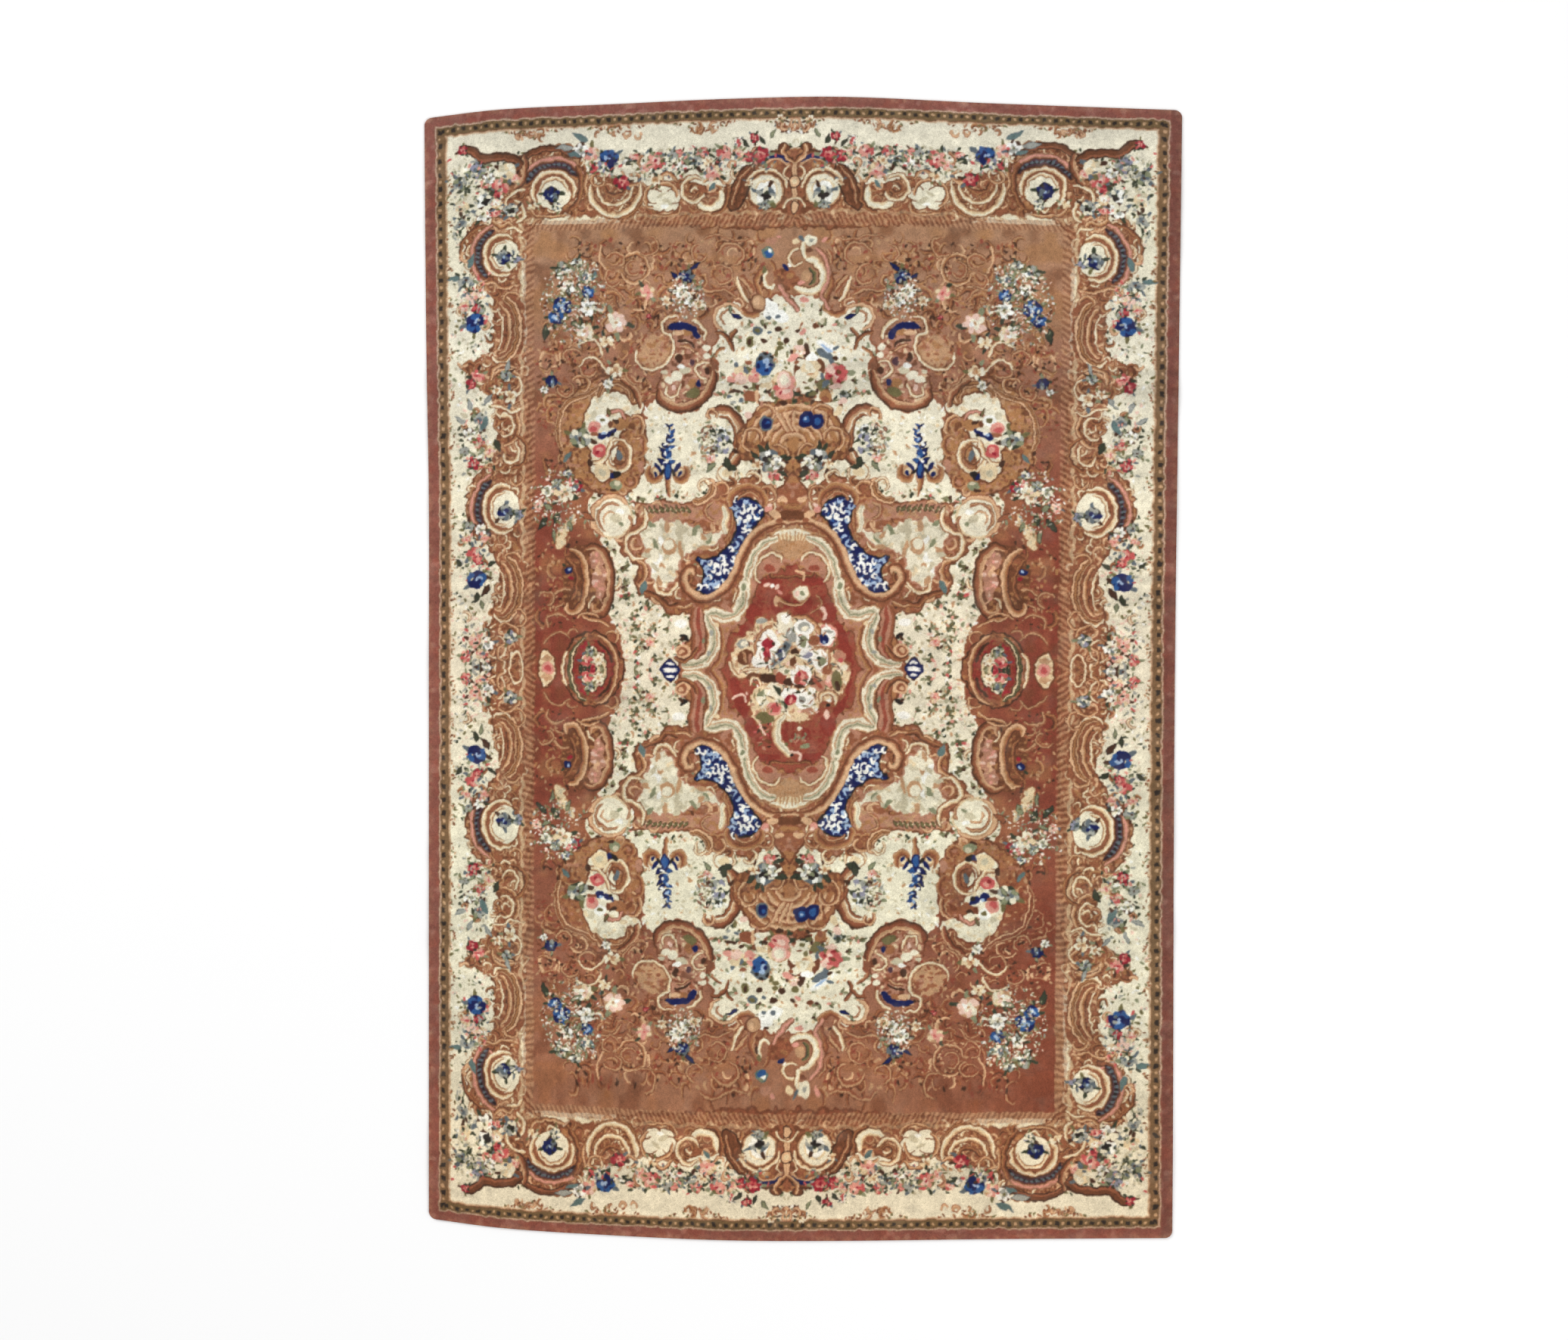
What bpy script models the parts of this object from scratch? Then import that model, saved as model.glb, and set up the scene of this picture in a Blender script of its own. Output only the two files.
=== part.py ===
"""A large floral axminster carpet, woven in one piece, lying face up on the floor.

+Y runs along the carpet and +X across it. The origin is at the middle of the floor under it.
The outline is the uneven one of an old carpet: bowed ends and slightly wandering sides.
Run with: blender --background --python part.py
"""

import math

import bmesh
import bpy
from mathutils import Vector

# Driving dimensions, in metres
HALF_LENGTH = 3.054
HALF_WIDTH = 2.022
THICKNESS = 0.010
CORNER_RADIUS = 0.040
CORNER_STEPS = 4
SHOULDER_RADIUS = 0.003
SHOULDER_STEPS = 2
SHARP_EDGE = math.radians(60)
CELLS_ACROSS = 24
CELLS_ALONG = 72

# How far each edge falls short of the outermost line: (share along the edge, shortfall)
# Ends run from the left corner (-1) to the right corner (1), sides from the near end to the far end
FAR_END = ((-1.0, 0.117), (-0.8, 0.069), (-0.5, 0.040), (-0.2, 0.012), (0.1, 0.001), (0.5, 0.036), (1.0, 0.073))
NEAR_END = ((-1.0, 0.121), (-0.8, 0.069), (-0.5, 0.030), (-0.2, 0.004), (0.1, 0.001), (0.5, 0.010), (1.0, 0.016))
LEFT_SIDE = ((-1.0, 0.024), (-0.5, 0.024), (0.0, 0.024), (0.3, 0.024), (0.6, 0.010), (1.0, 0.000))
RIGHT_SIDE = ((-1.0, 0.053), (-0.7, 0.048), (-0.3, 0.045), (0.1, 0.036), (0.5, 0.020), (1.0, 0.000))

# Soft creases left by folding, lying across the carpet:
# (place on the left side, place on the right side, half width, height)
CREASES = (
    (2.36, 2.30, 0.20, 0.004),
    (1.50, 1.47, 0.16, 0.006),
    (0.84, 0.80, 0.22, 0.004),
    (-1.02, -0.98, 0.20, 0.004),
    (-1.45, -1.40, 0.18, 0.005),
)
# The long sides cockle a little: (side, number of waves, depth inwards, height)
COCKLES = ((-1, 9, 0.28, 0.004), (1, 7, 0.24, 0.005))

RED_BROWN = (0.26, 0.10, 0.065, 1.0)


def clear_scene():
    for item in list(bpy.data.objects):
        bpy.data.objects.remove(item)


def through(stations, share):
    """The value at share of a smooth curve through (place, value) stations."""
    places = [place for place, _ in stations]
    values = [value for _, value in stations]
    slopes = [
        (values[min(i + 1, len(values) - 1)] - values[max(i - 1, 0)])
        / (places[min(i + 1, len(places) - 1)] - places[max(i - 1, 0)])
        for i in range(len(stations))
    ]
    i = max(k for k in range(len(places) - 1) if share >= places[k] or k == 0)
    run = places[i + 1] - places[i]
    t = min(max((share - places[i]) / run, 0.0), 1.0)
    start, end = 2 * t**3 - 3 * t**2 + 1, 3 * t**2 - 2 * t**3
    leave, arrive = t**3 - 2 * t**2 + t, t**3 - t**2
    return start * values[i] + end * values[i + 1] + run * (leave * slopes[i] + arrive * slopes[i + 1])


def side_point(side, along):
    """A point on the left (-1) or right (1) side, along from -1 at the near end to 1 at the far end."""
    shortfall = through(LEFT_SIDE if side < 0 else RIGHT_SIDE, along)
    near = -HALF_LENGTH + through(NEAR_END, side)
    far = HALF_LENGTH - through(FAR_END, side)
    return Vector((side * (HALF_WIDTH - shortfall), near + (far - near) * (along + 1) / 2))


def end_point(end, across):
    """A point on the near (-1) or far (1) end, across from -1 at the left to 1 at the right."""
    left, right = side_point(-1, end).x, side_point(1, end).x
    shortfall = through(NEAR_END if end < 0 else FAR_END, across)
    return Vector((left + (right - left) * (across + 1) / 2, end * (HALF_LENGTH - shortfall)))


def laid_out(across, along):
    """The place on the floor of a point of the woven rectangle, both shares from -1 to 1 (a Coons patch)."""
    s, t = (across + 1) / 2, (along + 1) / 2
    between_sides = side_point(-1, along) * (1 - s) + side_point(1, along) * s
    between_ends = end_point(-1, across) * (1 - t) + end_point(1, across) * t
    near = end_point(-1, -1) * (1 - s) + end_point(-1, 1) * s
    far = end_point(1, -1) * (1 - s) + end_point(1, 1) * s
    return between_sides + between_ends - near * (1 - t) - far * t


def swell(distance, half_width):
    """1 on a ridge's line, falling smoothly to 0 at half_width from it."""
    return 0.5 + 0.5 * math.cos(math.pi * min(distance / half_width, 1.0))


def lift(y, across, along):
    """How far the cloth stands off the floor: nothing but at the creases and the cockled sides."""
    heights = [0.0]
    for left, right, half_width, top in CREASES:
        line = left + (right - left) * (across + 1) / 2
        heights.append(top * swell(abs(y - line), half_width))
    for side, waves, depth, top in COCKLES:
        wave = max(math.sin(math.pi * waves * (along + 1) / 2), 0.0)
        heights.append(top * wave**2 * swell(abs(side - across) * HALF_WIDTH, depth))
    return max(heights)


def round_corners(mesh):
    """Cuts the sheet's four corners to quarter rounds."""
    rim = bmesh.new()
    rim.from_mesh(mesh)
    corners = [vertex for vertex in rim.verts if len(vertex.link_faces) == 1]
    bmesh.ops.bevel(
        rim,
        geom=corners,
        offset=CORNER_RADIUS,
        offset_type="OFFSET",
        segments=CORNER_STEPS,
        profile=0.5,
        affect="VERTICES",
    )
    rim.to_mesh(mesh)
    rim.free()


def wool():
    """The plain red-brown wool of the outer band, which stands for the whole face."""
    material = bpy.data.materials.new("pile_wool")
    material.use_nodes = True
    shader = material.node_tree.nodes["Principled BSDF"]
    shader.inputs["Base Color"].default_value = RED_BROWN
    shader.inputs["Roughness"].default_value = 0.95
    shader.inputs["Metallic"].default_value = 0.0
    return material


def woven_carpet():
    """The one woven piece: pile and ground together, a sheet of even thickness."""
    bpy.ops.mesh.primitive_grid_add(x_subdivisions=CELLS_ACROSS, y_subdivisions=CELLS_ALONG, size=2)
    carpet = bpy.context.object
    carpet.name = "carpet"
    for vertex in carpet.data.vertices:
        across, along = vertex.co.x, vertex.co.y
        place = laid_out(across, along)
        vertex.co = (place.x, place.y, lift(place.y, across, along))
    round_corners(carpet.data)
    carpet.data.materials.append(wool())

    cloth = carpet.modifiers.new("cloth", "SOLIDIFY")
    cloth.thickness = THICKNESS
    cloth.offset = 1
    cloth.use_even_offset = False

    shoulder = carpet.modifiers.new("shoulder", "BEVEL")
    shoulder.width = SHOULDER_RADIUS
    shoulder.segments = SHOULDER_STEPS
    shoulder.limit_method = "ANGLE"
    shoulder.angle_limit = SHARP_EDGE
    carpet.data.shade_smooth()
    return carpet


clear_scene()
object_collection = bpy.data.collections.new("axminster_carpet")
bpy.context.scene.collection.children.link(object_collection)
made = woven_carpet()
for collection in list(made.users_collection):
    collection.objects.unlink(made)
object_collection.objects.link(made)
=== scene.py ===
"""A large floral axminster carpet, lying face up on a pale floor and seen from straight above."""
import math

import bpy
import numpy as np
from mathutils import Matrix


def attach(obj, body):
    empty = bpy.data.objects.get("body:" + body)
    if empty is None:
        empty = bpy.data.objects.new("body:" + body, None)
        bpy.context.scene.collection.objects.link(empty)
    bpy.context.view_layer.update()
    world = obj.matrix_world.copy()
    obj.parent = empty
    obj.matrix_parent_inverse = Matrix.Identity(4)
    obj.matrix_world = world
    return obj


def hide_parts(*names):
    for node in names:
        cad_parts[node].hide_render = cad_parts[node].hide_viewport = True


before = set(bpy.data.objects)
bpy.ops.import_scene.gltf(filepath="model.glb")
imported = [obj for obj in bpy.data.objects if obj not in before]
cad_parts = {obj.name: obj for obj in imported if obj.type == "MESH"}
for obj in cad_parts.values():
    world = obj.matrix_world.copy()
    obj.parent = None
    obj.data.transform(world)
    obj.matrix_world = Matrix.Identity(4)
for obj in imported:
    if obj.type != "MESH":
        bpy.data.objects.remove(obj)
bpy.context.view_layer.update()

# The room: a plain pale floor under soft, even studio light, with the camera hung high above the
# carpet's middle and looking straight down, as in the photograph.
FRAME_WIDTH = 8.37
LENS = 85.0
FILM_WIDTH = 36.0
bpy.ops.object.camera_add(location=(-0.103, -0.006, FRAME_WIDTH * LENS / FILM_WIDTH), rotation=(0, 0, 0))
camera = bpy.context.object
camera.name = "studio_camera"
camera.data.lens = LENS
camera.data.sensor_width = FILM_WIDTH
camera.data.clip_end = 200
bpy.context.scene.camera = camera
bpy.context.scene.view_settings.view_transform = "Standard"

bpy.ops.object.select_all(action="DESELECT")
bpy.ops.mesh.primitive_plane_add(size=60, location=(0, 0, -0.001))
floor = bpy.context.object
floor.name = "studio_floor"
paint = bpy.data.materials.new("floor_paint")
paint.use_nodes = True
shader = paint.node_tree.nodes["Principled BSDF"]
shader.inputs["Base Color"].default_value = (0.97, 0.97, 0.97, 1)
shader.inputs["Roughness"].default_value = 0.9
floor.data.materials.append(paint)

air = bpy.data.worlds.new("studio_air")
bpy.context.scene.world = air
air.use_nodes = True
glow = air.node_tree.nodes["Background"]
glow.inputs["Color"].default_value = (1.0, 1.0, 1.0, 1)
glow.inputs["Strength"].default_value = 0.50
for name, place, turn, size, power in (
    ("main_softbox", (-14.0, 15.0, 17.0), (math.radians(-41), math.radians(-34), 0), 14.0, 3300),
    ("fill_softbox", (13.0, -8.0, 18.0), (math.radians(20), math.radians(36), 0), 16.0, 2300),
):
    bpy.ops.object.light_add(type="AREA", location=place, rotation=turn)
    light = bpy.context.object
    light.name = name
    light.data.shape = "SQUARE"
    light.data.size = size
    light.data.energy = power


# The ground cloth: jute wefts beaten close over cotton warps, which carries the tufts and is all that
# the carpet's back shows. It lies on the floor along the uneven outline of an old carpet, lifted a
# few millimetres along the old folds and where its long sides cockle.
HALF_LENGTH = 3.054
HALF_WIDTH = 2.022
THICKNESS = 0.010
CORNER_RADIUS = 0.040
CLOTH_THICKNESS = 0.004
# how far each edge falls short of the outermost line: (share along the edge, shortfall)
FAR_END = (
    (-1.0, 0.117), (-0.8, 0.069), (-0.5, 0.040), (-0.2, 0.012), (0.1, 0.001), (0.5, 0.036), (1.0, 0.073),
)
NEAR_END = (
    (-1.0, 0.121), (-0.8, 0.069), (-0.5, 0.030), (-0.2, 0.004), (0.1, 0.001), (0.5, 0.010), (1.0, 0.016),
)
LEFT_SIDE = ((-1.0, 0.024), (-0.5, 0.024), (0.0, 0.024), (0.3, 0.024), (0.6, 0.010), (1.0, 0.000))
RIGHT_SIDE = ((-1.0, 0.053), (-0.7, 0.048), (-0.3, 0.045), (0.1, 0.036), (0.5, 0.020), (1.0, 0.000))
# soft creases across the carpet: (place on the left side, place on the right side, half width, height)
CREASES = (
    (2.36, 2.30, 0.20, 0.004),
    (1.50, 1.47, 0.16, 0.006),
    (0.84, 0.80, 0.22, 0.004),
    (-1.02, -0.98, 0.20, 0.004),
    (-1.45, -1.40, 0.18, 0.005),
)
# cockles of the long sides: (side, number of waves, depth inwards, height)
COCKLES = ((-1, 9, 0.28, 0.004), (1, 7, 0.24, 0.005))


def through(stations, share):
    """The values at these shares of a smooth curve through (place, value) stations."""
    places, values = np.array(stations).T
    slopes = np.array([
        (values[min(i + 1, len(values) - 1)] - values[max(i - 1, 0)])
        / (places[min(i + 1, len(places) - 1)] - places[max(i - 1, 0)])
        for i in range(len(values))
    ])
    i = np.clip(np.searchsorted(places, share, side="right") - 1, 0, len(places) - 2)
    run = places[i + 1] - places[i]
    t = np.clip((share - places[i]) / run, 0.0, 1.0)
    start, end = 2 * t**3 - 3 * t**2 + 1, 3 * t**2 - 2 * t**3
    leave, arrive = t**3 - 2 * t**2 + t, t**3 - t**2
    return start * values[i] + end * values[i + 1] + run * (leave * slopes[i] + arrive * slopes[i + 1])


def side_place(side, along):
    """Points on the left (-1) or right (1) side."""
    x = side * (HALF_WIDTH - through(LEFT_SIDE if side < 0 else RIGHT_SIDE, along))
    near = -HALF_LENGTH + through(NEAR_END, side)
    far = HALF_LENGTH - through(FAR_END, side)
    return x, near + (far - near) * (along + 1) / 2


def end_place(end, across):
    """Points on the near (-1) or far (1) end."""
    left, right = side_place(-1, end)[0], side_place(1, end)[0]
    y = end * (HALF_LENGTH - through(NEAR_END if end < 0 else FAR_END, across))
    return left + (right - left) * (across + 1) / 2, y


def laid_out(across, along):
    """Places on the floor of points of the woven rectangle, given by shares from -1 to 1."""
    s, t = (across + 1) / 2, (along + 1) / 2
    left, right = side_place(-1, along), side_place(1, along)
    near, far = end_place(-1, across), end_place(1, across)
    corners = [end_place(end, side) for end in (-1, 1) for side in (-1, 1)]
    return [
        left[k] * (1 - s) + right[k] * s + near[k] * (1 - t) + far[k] * t
        - (corners[0][k] * (1 - s) + corners[1][k] * s) * (1 - t)
        - (corners[2][k] * (1 - s) + corners[3][k] * s) * t
        for k in (0, 1)
    ]


def swell(distance, half_width):
    """1 on a ridge's line, falling smoothly to 0 at half_width from it."""
    return 0.5 + 0.5 * np.cos(math.pi * np.minimum(distance / half_width, 1.0))


def lift(y, across, along):
    """How far the cloth stands off the floor: nothing but at the creases and the cockled sides."""
    height = np.zeros_like(y)
    for left, right, half_width, top in CREASES:
        line = left + (right - left) * (across + 1) / 2
        height = np.maximum(height, top * swell(np.abs(y - line), half_width))
    for side, waves, depth, top in COCKLES:
        wave = np.maximum(np.sin(math.pi * waves * (along + 1) / 2), 0.0)
        height = np.maximum(height, top * wave**2 * swell(np.abs(side - across) * HALF_WIDTH, depth))
    return height


def rounded(across, along):
    """The same shares with the rectangle's four corners drawn in to quarter rounds."""
    reach_x, reach_y = CORNER_RADIUS / HALF_WIDTH, CORNER_RADIUS / HALF_LENGTH
    x = (np.abs(across) - 1 + reach_x) / reach_x
    y = (np.abs(along) - 1 + reach_y) / reach_y
    in_corner = (x > 0) & (y > 0)
    pull = np.where(in_corner, np.maximum(x, y) / np.maximum(np.hypot(x, y), 1e-9), 1.0)
    return (
        np.where(in_corner, np.sign(across) * (1 - reach_x + x * pull * reach_x), across),
        np.where(in_corner, np.sign(along) * (1 - reach_y + y * pull * reach_y), along),
    )


def shares_of(mesh):
    """A new grid's points, from -1 to 1 both ways."""
    points = np.empty(len(mesh.vertices) * 3)
    mesh.vertices.foreach_get("co", points)
    return points.reshape(-1, 3)[:, 0], points.reshape(-1, 3)[:, 1]


def move_points(mesh, x, y, z):
    mesh.vertices.foreach_set("co", np.stack([x, y, z], axis=1).ravel())
    mesh.update()


INSET = 0.001  # from the pile's turned-down edge
bpy.ops.object.select_all(action="DESELECT")
bpy.ops.mesh.primitive_grid_add(x_subdivisions=80, y_subdivisions=120, size=2)
ground_cloth = bpy.context.object
ground_cloth.name = ground_cloth.data.name = "ground_cloth"
across, along = rounded(*shares_of(ground_cloth.data))
across, along = across * (1 - INSET / HALF_WIDTH), along * (1 - INSET / HALF_LENGTH)
x, y = laid_out(across, along)
move_points(ground_cloth.data, x, y, lift(y, across, along))
body = ground_cloth.modifiers.new("body", "SOLIDIFY")
body.thickness = CLOTH_THICKNESS
body.offset = 1
body.use_even_offset = False
bpy.ops.object.modifier_apply(modifier="body")
bpy.ops.object.shade_smooth_by_angle(angle=math.radians(50))


def spun_fibres():
    """The grain of spun yarn, for jute and wool: strands seen end on, with painted highlight at their
    middles and painted shade in the gaps between them, fibres that took the dye unevenly, and rubbed patches
    that are paler, duller and rougher."""
    group = bpy.data.node_groups.new("spun_fibres", "ShaderNodeTree")
    for name, kind, way in (
        ("Place", "NodeSocketVector", "INPUT"), ("Yarn", "NodeSocketColor", "INPUT"),
        ("Strands per metre", "NodeSocketFloat", "INPUT"), ("Strand shading", "NodeSocketFloat", "INPUT"),
        ("Dye unevenness", "NodeSocketFloat", "INPUT"), ("Wear", "NodeSocketFloat", "INPUT"),
        ("Colour", "NodeSocketColor", "OUTPUT"), ("Height", "NodeSocketFloat", "OUTPUT"),
        ("Roughness", "NodeSocketFloat", "OUTPUT"),
    ):
        group.interface.new_socket(name=name, in_out=way, socket_type=kind)
    nodes, links = group.nodes, group.links
    given, made = nodes.new("NodeGroupInput"), nodes.new("NodeGroupOutput")
    strand = nodes.new("ShaderNodeTexVoronoi")
    dye, rub = nodes.new("ShaderNodeTexNoise"), nodes.new("ShaderNodeTexNoise")
    for noise, size in ((dye, 160.0), (rub, 9.0)):
        noise.inputs["Scale"].default_value = size
        noise.inputs["Detail"].default_value = 4.0

    def math_node(operation, first, second, third=None):
        node = nodes.new("ShaderNodeMath")
        node.operation = operation
        for socket, value in zip(node.inputs, (first, second, third)):
            if isinstance(value, (int, float)):
                socket.default_value = value
            elif value is not None:
                links.new(value, socket)
        return node.outputs["Value"]

    for texture in (strand, dye, rub):
        links.new(given.outputs["Place"], texture.inputs["Vector"])
    links.new(given.outputs["Strands per metre"], strand.inputs["Scale"])
    # painted highlight and shade: the colour is raised at each strand's middle and lowered in the gaps
    # between strands
    gap = math_node("SUBTRACT", strand.outputs["Distance"], 0.45)
    shade = math_node("MULTIPLY_ADD", math_node("MULTIPLY", gap, given.outputs["Strand shading"]), -1.0, 1.0)
    uneven = math_node("SUBTRACT", dye.outputs["Fac"], 0.5)
    shade = math_node("MULTIPLY_ADD", uneven, given.outputs["Dye unevenness"], shade)
    rubbed = nodes.new("ShaderNodeMapRange")
    rubbed.inputs["From Min"].default_value = 0.52
    rubbed.inputs["From Max"].default_value = 0.78
    links.new(rub.outputs["Fac"], rubbed.inputs["Value"])
    worn = math_node("MULTIPLY", rubbed.outputs["Result"], given.outputs["Wear"])
    shaded = nodes.new("ShaderNodeVectorMath")
    shaded.operation = "SCALE"
    links.new(given.outputs["Yarn"], shaded.inputs[0])
    links.new(shade, shaded.inputs["Scale"])
    pale = nodes.new("ShaderNodeMix")
    pale.data_type = "RGBA"
    pale.inputs["B"].default_value = (0.47, 0.38, 0.29, 1)
    links.new(worn, pale.inputs["Factor"])
    links.new(shaded.outputs["Vector"], pale.inputs["A"])
    links.new(pale.outputs["Result"], made.inputs["Colour"])
    links.new(math_node("SUBTRACT", 1.0, strand.outputs["Distance"]), made.inputs["Height"])
    links.new(math_node("MULTIPLY_ADD", worn, 0.3, 0.88), made.inputs["Roughness"])
    return group


# jute and cotton ribs, with slubs in the jute
JUTE_DARK = (0.30, 0.19, 0.11, 1)
JUTE_LIGHT = (0.55, 0.42, 0.27, 1)
fibres = spun_fibres()
jute = bpy.data.materials.new("jute_ground")
jute.use_nodes = True
nodes, links = jute.node_tree.nodes, jute.node_tree.links
shader = nodes["Principled BSDF"]
place = nodes.new("ShaderNodeTexCoord")
ribs = nodes.new("ShaderNodeTexWave")
ribs.bands_direction = "Y"
ribs.inputs["Scale"].default_value = 40.0
ribs.inputs["Distortion"].default_value = 1.2
ribs.inputs["Detail"].default_value = 2.0
slubs = nodes.new("ShaderNodeTexNoise")
slubs.inputs["Scale"].default_value = 55.0
slubs.inputs["Detail"].default_value = 6.0
stretch = nodes.new("ShaderNodeMapping")
stretch.inputs["Scale"].default_value = (0.25, 1.6, 1.0)
shades = nodes.new("ShaderNodeValToRGB")
shades.color_ramp.elements[0].color = JUTE_DARK
shades.color_ramp.elements[0].position = 0.25
shades.color_ramp.elements[1].color = JUTE_LIGHT
shades.color_ramp.elements[1].position = 0.8
mixed = nodes.new("ShaderNodeMath")
mixed.operation = "MULTIPLY_ADD"
mixed.inputs[1].default_value = 0.45
strands = nodes.new("ShaderNodeGroup")
strands.node_tree = fibres
for socket, value in (
    ("Strands per metre", 420.0), ("Strand shading", 0.35), ("Dye unevenness", 0.3), ("Wear", 0.3),
):
    strands.inputs[socket].default_value = value
raised = nodes.new("ShaderNodeBump")
raised.inputs["Strength"].default_value = 0.6
raised.inputs["Distance"].default_value = 0.001
links.new(place.outputs["Object"], ribs.inputs["Vector"])
links.new(place.outputs["Object"], stretch.inputs["Vector"])
links.new(place.outputs["Object"], strands.inputs["Place"])
links.new(stretch.outputs["Vector"], slubs.inputs["Vector"])
links.new(ribs.outputs["Fac"], mixed.inputs[0])
links.new(slubs.outputs["Fac"], mixed.inputs[2])
links.new(mixed.outputs["Value"], shades.inputs["Fac"])
links.new(shades.outputs["Color"], strands.inputs["Yarn"])
links.new(strands.outputs["Colour"], shader.inputs["Base Color"])
links.new(strands.outputs["Roughness"], shader.inputs["Roughness"])
links.new(ribs.outputs["Fac"], raised.inputs["Height"])
links.new(raised.outputs["Normal"], shader.inputs["Normal"])
ground_cloth.data.materials.append(jute)
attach(ground_cloth, "root")
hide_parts("carpet")


# The pattern: a flower carpet of the rococo revival, woven tuft by tuft from a point paper. One quarter is
# drawn here, in metres from the carpet's middle, and turned over for the others. First the paper, the
# yarns and the ways of laying them, then the grounds, the scrollwork and the flowers as they lie.
PATTERN_WIDTH, PATTERN_LENGTH, CELL = 3.98, 6.10, 0.0025
YARN = {name: np.array(rgb, np.float32) for name, rgb in {
    "ivory": (229, 221, 198), "white": (240, 238, 230), "cream": (222, 200, 164), "peach": (214, 174, 138),
    "tan": (186, 146, 112), "stone": (196, 186, 160), "plum": (84, 58, 66), "ochre": (168, 121, 82),
    "rust": (146, 92, 67), "brick": (148, 80, 64), "red": (138, 62, 52), "brown": (112, 71, 50),
    "umber": (76, 52, 40),
    "black": (46, 40, 38), "crimson": (150, 44, 56), "rose": (190, 92, 90), "pink": (214, 150, 136),
    "blush": (226, 192, 176), "grey": (158, 158, 150), "slate": (98, 106, 112), "sage": (134, 136, 108),
    "bottle": (62, 66, 52), "navy": (31, 37, 84), "blue": (52, 88, 140), "sky": (160, 180, 206),
    "teal": (98, 118, 116), "dusty": (176, 128, 106), "lilac": (142, 140, 156), "moss": (112, 104, 70),
}.items()}
# the bands of a scroll, from its inner edge (-1) to its outer one (1)
BANDS = {
    "peach": ((-0.8, "umber"), (-0.45, "rust"), (-0.1, "ochre"), (0.2, "tan"), (0.75, "peach"),
        (1.0, "brown")),
    "cream": ((-0.78, "brown"), (-0.4, "tan"), (0.1, "cream"), (0.5, "ivory"), (0.78, "tan"),
        (1.0, "brown")),
    "ivory": ((-0.8, "tan"), (-0.4, "cream"), (0.5, "ivory"), (0.75, "cream"), (1.0, "brown")),
    "rust": ((-0.7, "umber"), (-0.2, "brown"), (0.3, "rust"), (0.7, "ochre"), (1.0, "brown")),
    "brown": ((-0.6, "umber"), (0.2, "brown"), (0.7, "rust"), (1.0, "umber")),
    "ochre": ((-0.6, "brown"), (-0.1, "rust"), (0.5, "ochre"), (0.85, "tan"), (1.0, "rust")),
    "curl": ((-0.2, "rust"), (0.6, "tan"), (1.0, "brown")),
    "field curl": ((-0.5, "brown"), (0.0, "ochre"), (0.6, "tan"), (1.0, "rust")),
    "pale curl": ((-0.4, "tan"), (0.6, "peach"), (1.0, "rust")),
    "line": ((1.0, "peach"),), "dark": ((1.0, "umber"),), "navy line": ((1.0, "navy"),),
    "navy": ((-0.6, "slate"), (0.5, "navy"), (1.0, "black")),
    "pale": ((-0.8, "tan"), (-0.35, "ivory"), (0.0, "stone"), (0.3, "ivory"), (0.7, "cream"), (1.0, "tan")),
    "triple": ((-0.85, "brown"), (-0.5, "tan"), (-0.25, "brown"), (0.1, "ochre"), (0.3, "brown"),
        (0.8, "peach"), (1.0, "brown")),
    "green": ((-0.6, "umber"), (0.0, "cream"), (0.3, "bottle"), (0.75, "moss"), (1.0, "bottle")),
    "frame": ((-0.8, "tan"), (-0.2, "peach"), (0.1, "tan"), (0.4, "rust"), (0.75, "brown"), (1.0, "rust")),
    "old rose": ((-0.7, "brown"), (-0.2, "dusty"), (0.3, "pink"), (0.8, "dusty"), (1.0, "brown")),
    "crescent": ((-0.7, "umber"), (-0.3, "plum"), (0.3, "black"), (0.7, "plum"), (1.0, "brown")),
    "ray": ((0.3, "tan"), (1.0, "ochre")),
    "rose wave": ((-0.85, "brown"), (-0.5, "rust"), (-0.1, "dusty"), (0.4, "brick"), (0.8, "dusty"),
        (1.0, "brown")),
    "tracery": ((1.0, "white"),), "sky tracery": ((1.0, "sky"),),
    "moss line": ((0.3, "moss"), (1.0, "bottle")), "blush line": ((0.6, "blush"), (1.0, "dusty")),
    "folded": ((-0.9, "brown"), (-0.7, "tan"), (-0.35, "ivory"), (-0.1, "stone"), (0.05, "sage"),
        (0.3, "stone"), (0.45, "tan"), (0.8, "ivory"), (1.0, "tan")),
    "curled back": ((-0.8, "peach"), (-0.3, "tan"), (0.3, "rust"), (0.7, "brown"), (1.0, "umber")),
}
paper = np.empty((round(PATTERN_LENGTH / 2 / CELL), round(PATTERN_WIDTH / 2 / CELL), 3), np.float32)
sheet = {"paper": paper, "left": 0.0, "near": 0.0}


def span(x0, x1, y0, y1):
    """The part of the paper between these places, and the place of each of its cells."""
    rows, columns = sheet["paper"].shape[:2]
    c0, c1 = max(int((x0 - sheet["left"]) / CELL), 0), min(int((x1 - sheet["left"]) / CELL) + 2, columns)
    r0, r1 = max(int((y0 - sheet["near"]) / CELL), 0), min(int((y1 - sheet["near"]) / CELL) + 2, rows)
    c1, r1 = max(c0, c1), max(r0, r1)
    px = (np.arange(c0, c1, dtype=np.float32) + 0.5) * CELL + sheet["left"]
    py = (np.arange(r0, r1, dtype=np.float32) + 0.5) * CELL + sheet["near"]
    return (slice(r0, r1), slice(c0, c1)), *np.meshgrid(px, py)


def turned(dx, dy, degrees):
    c, s = math.cos(math.radians(degrees)), math.sin(math.radians(degrees))
    return dx * c + dy * s, dy * c - dx * s


def lay(area, cover, yarn):
    """Lays a yarn, or a colour for each cell, over the paper."""
    cells = sheet["paper"][area]
    cells += cover[..., None] * ((YARN[yarn] if isinstance(yarn, str) else yarn) - cells)


def inside(distance):
    return np.clip(0.5 - distance / CELL, 0, 1)


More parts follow.
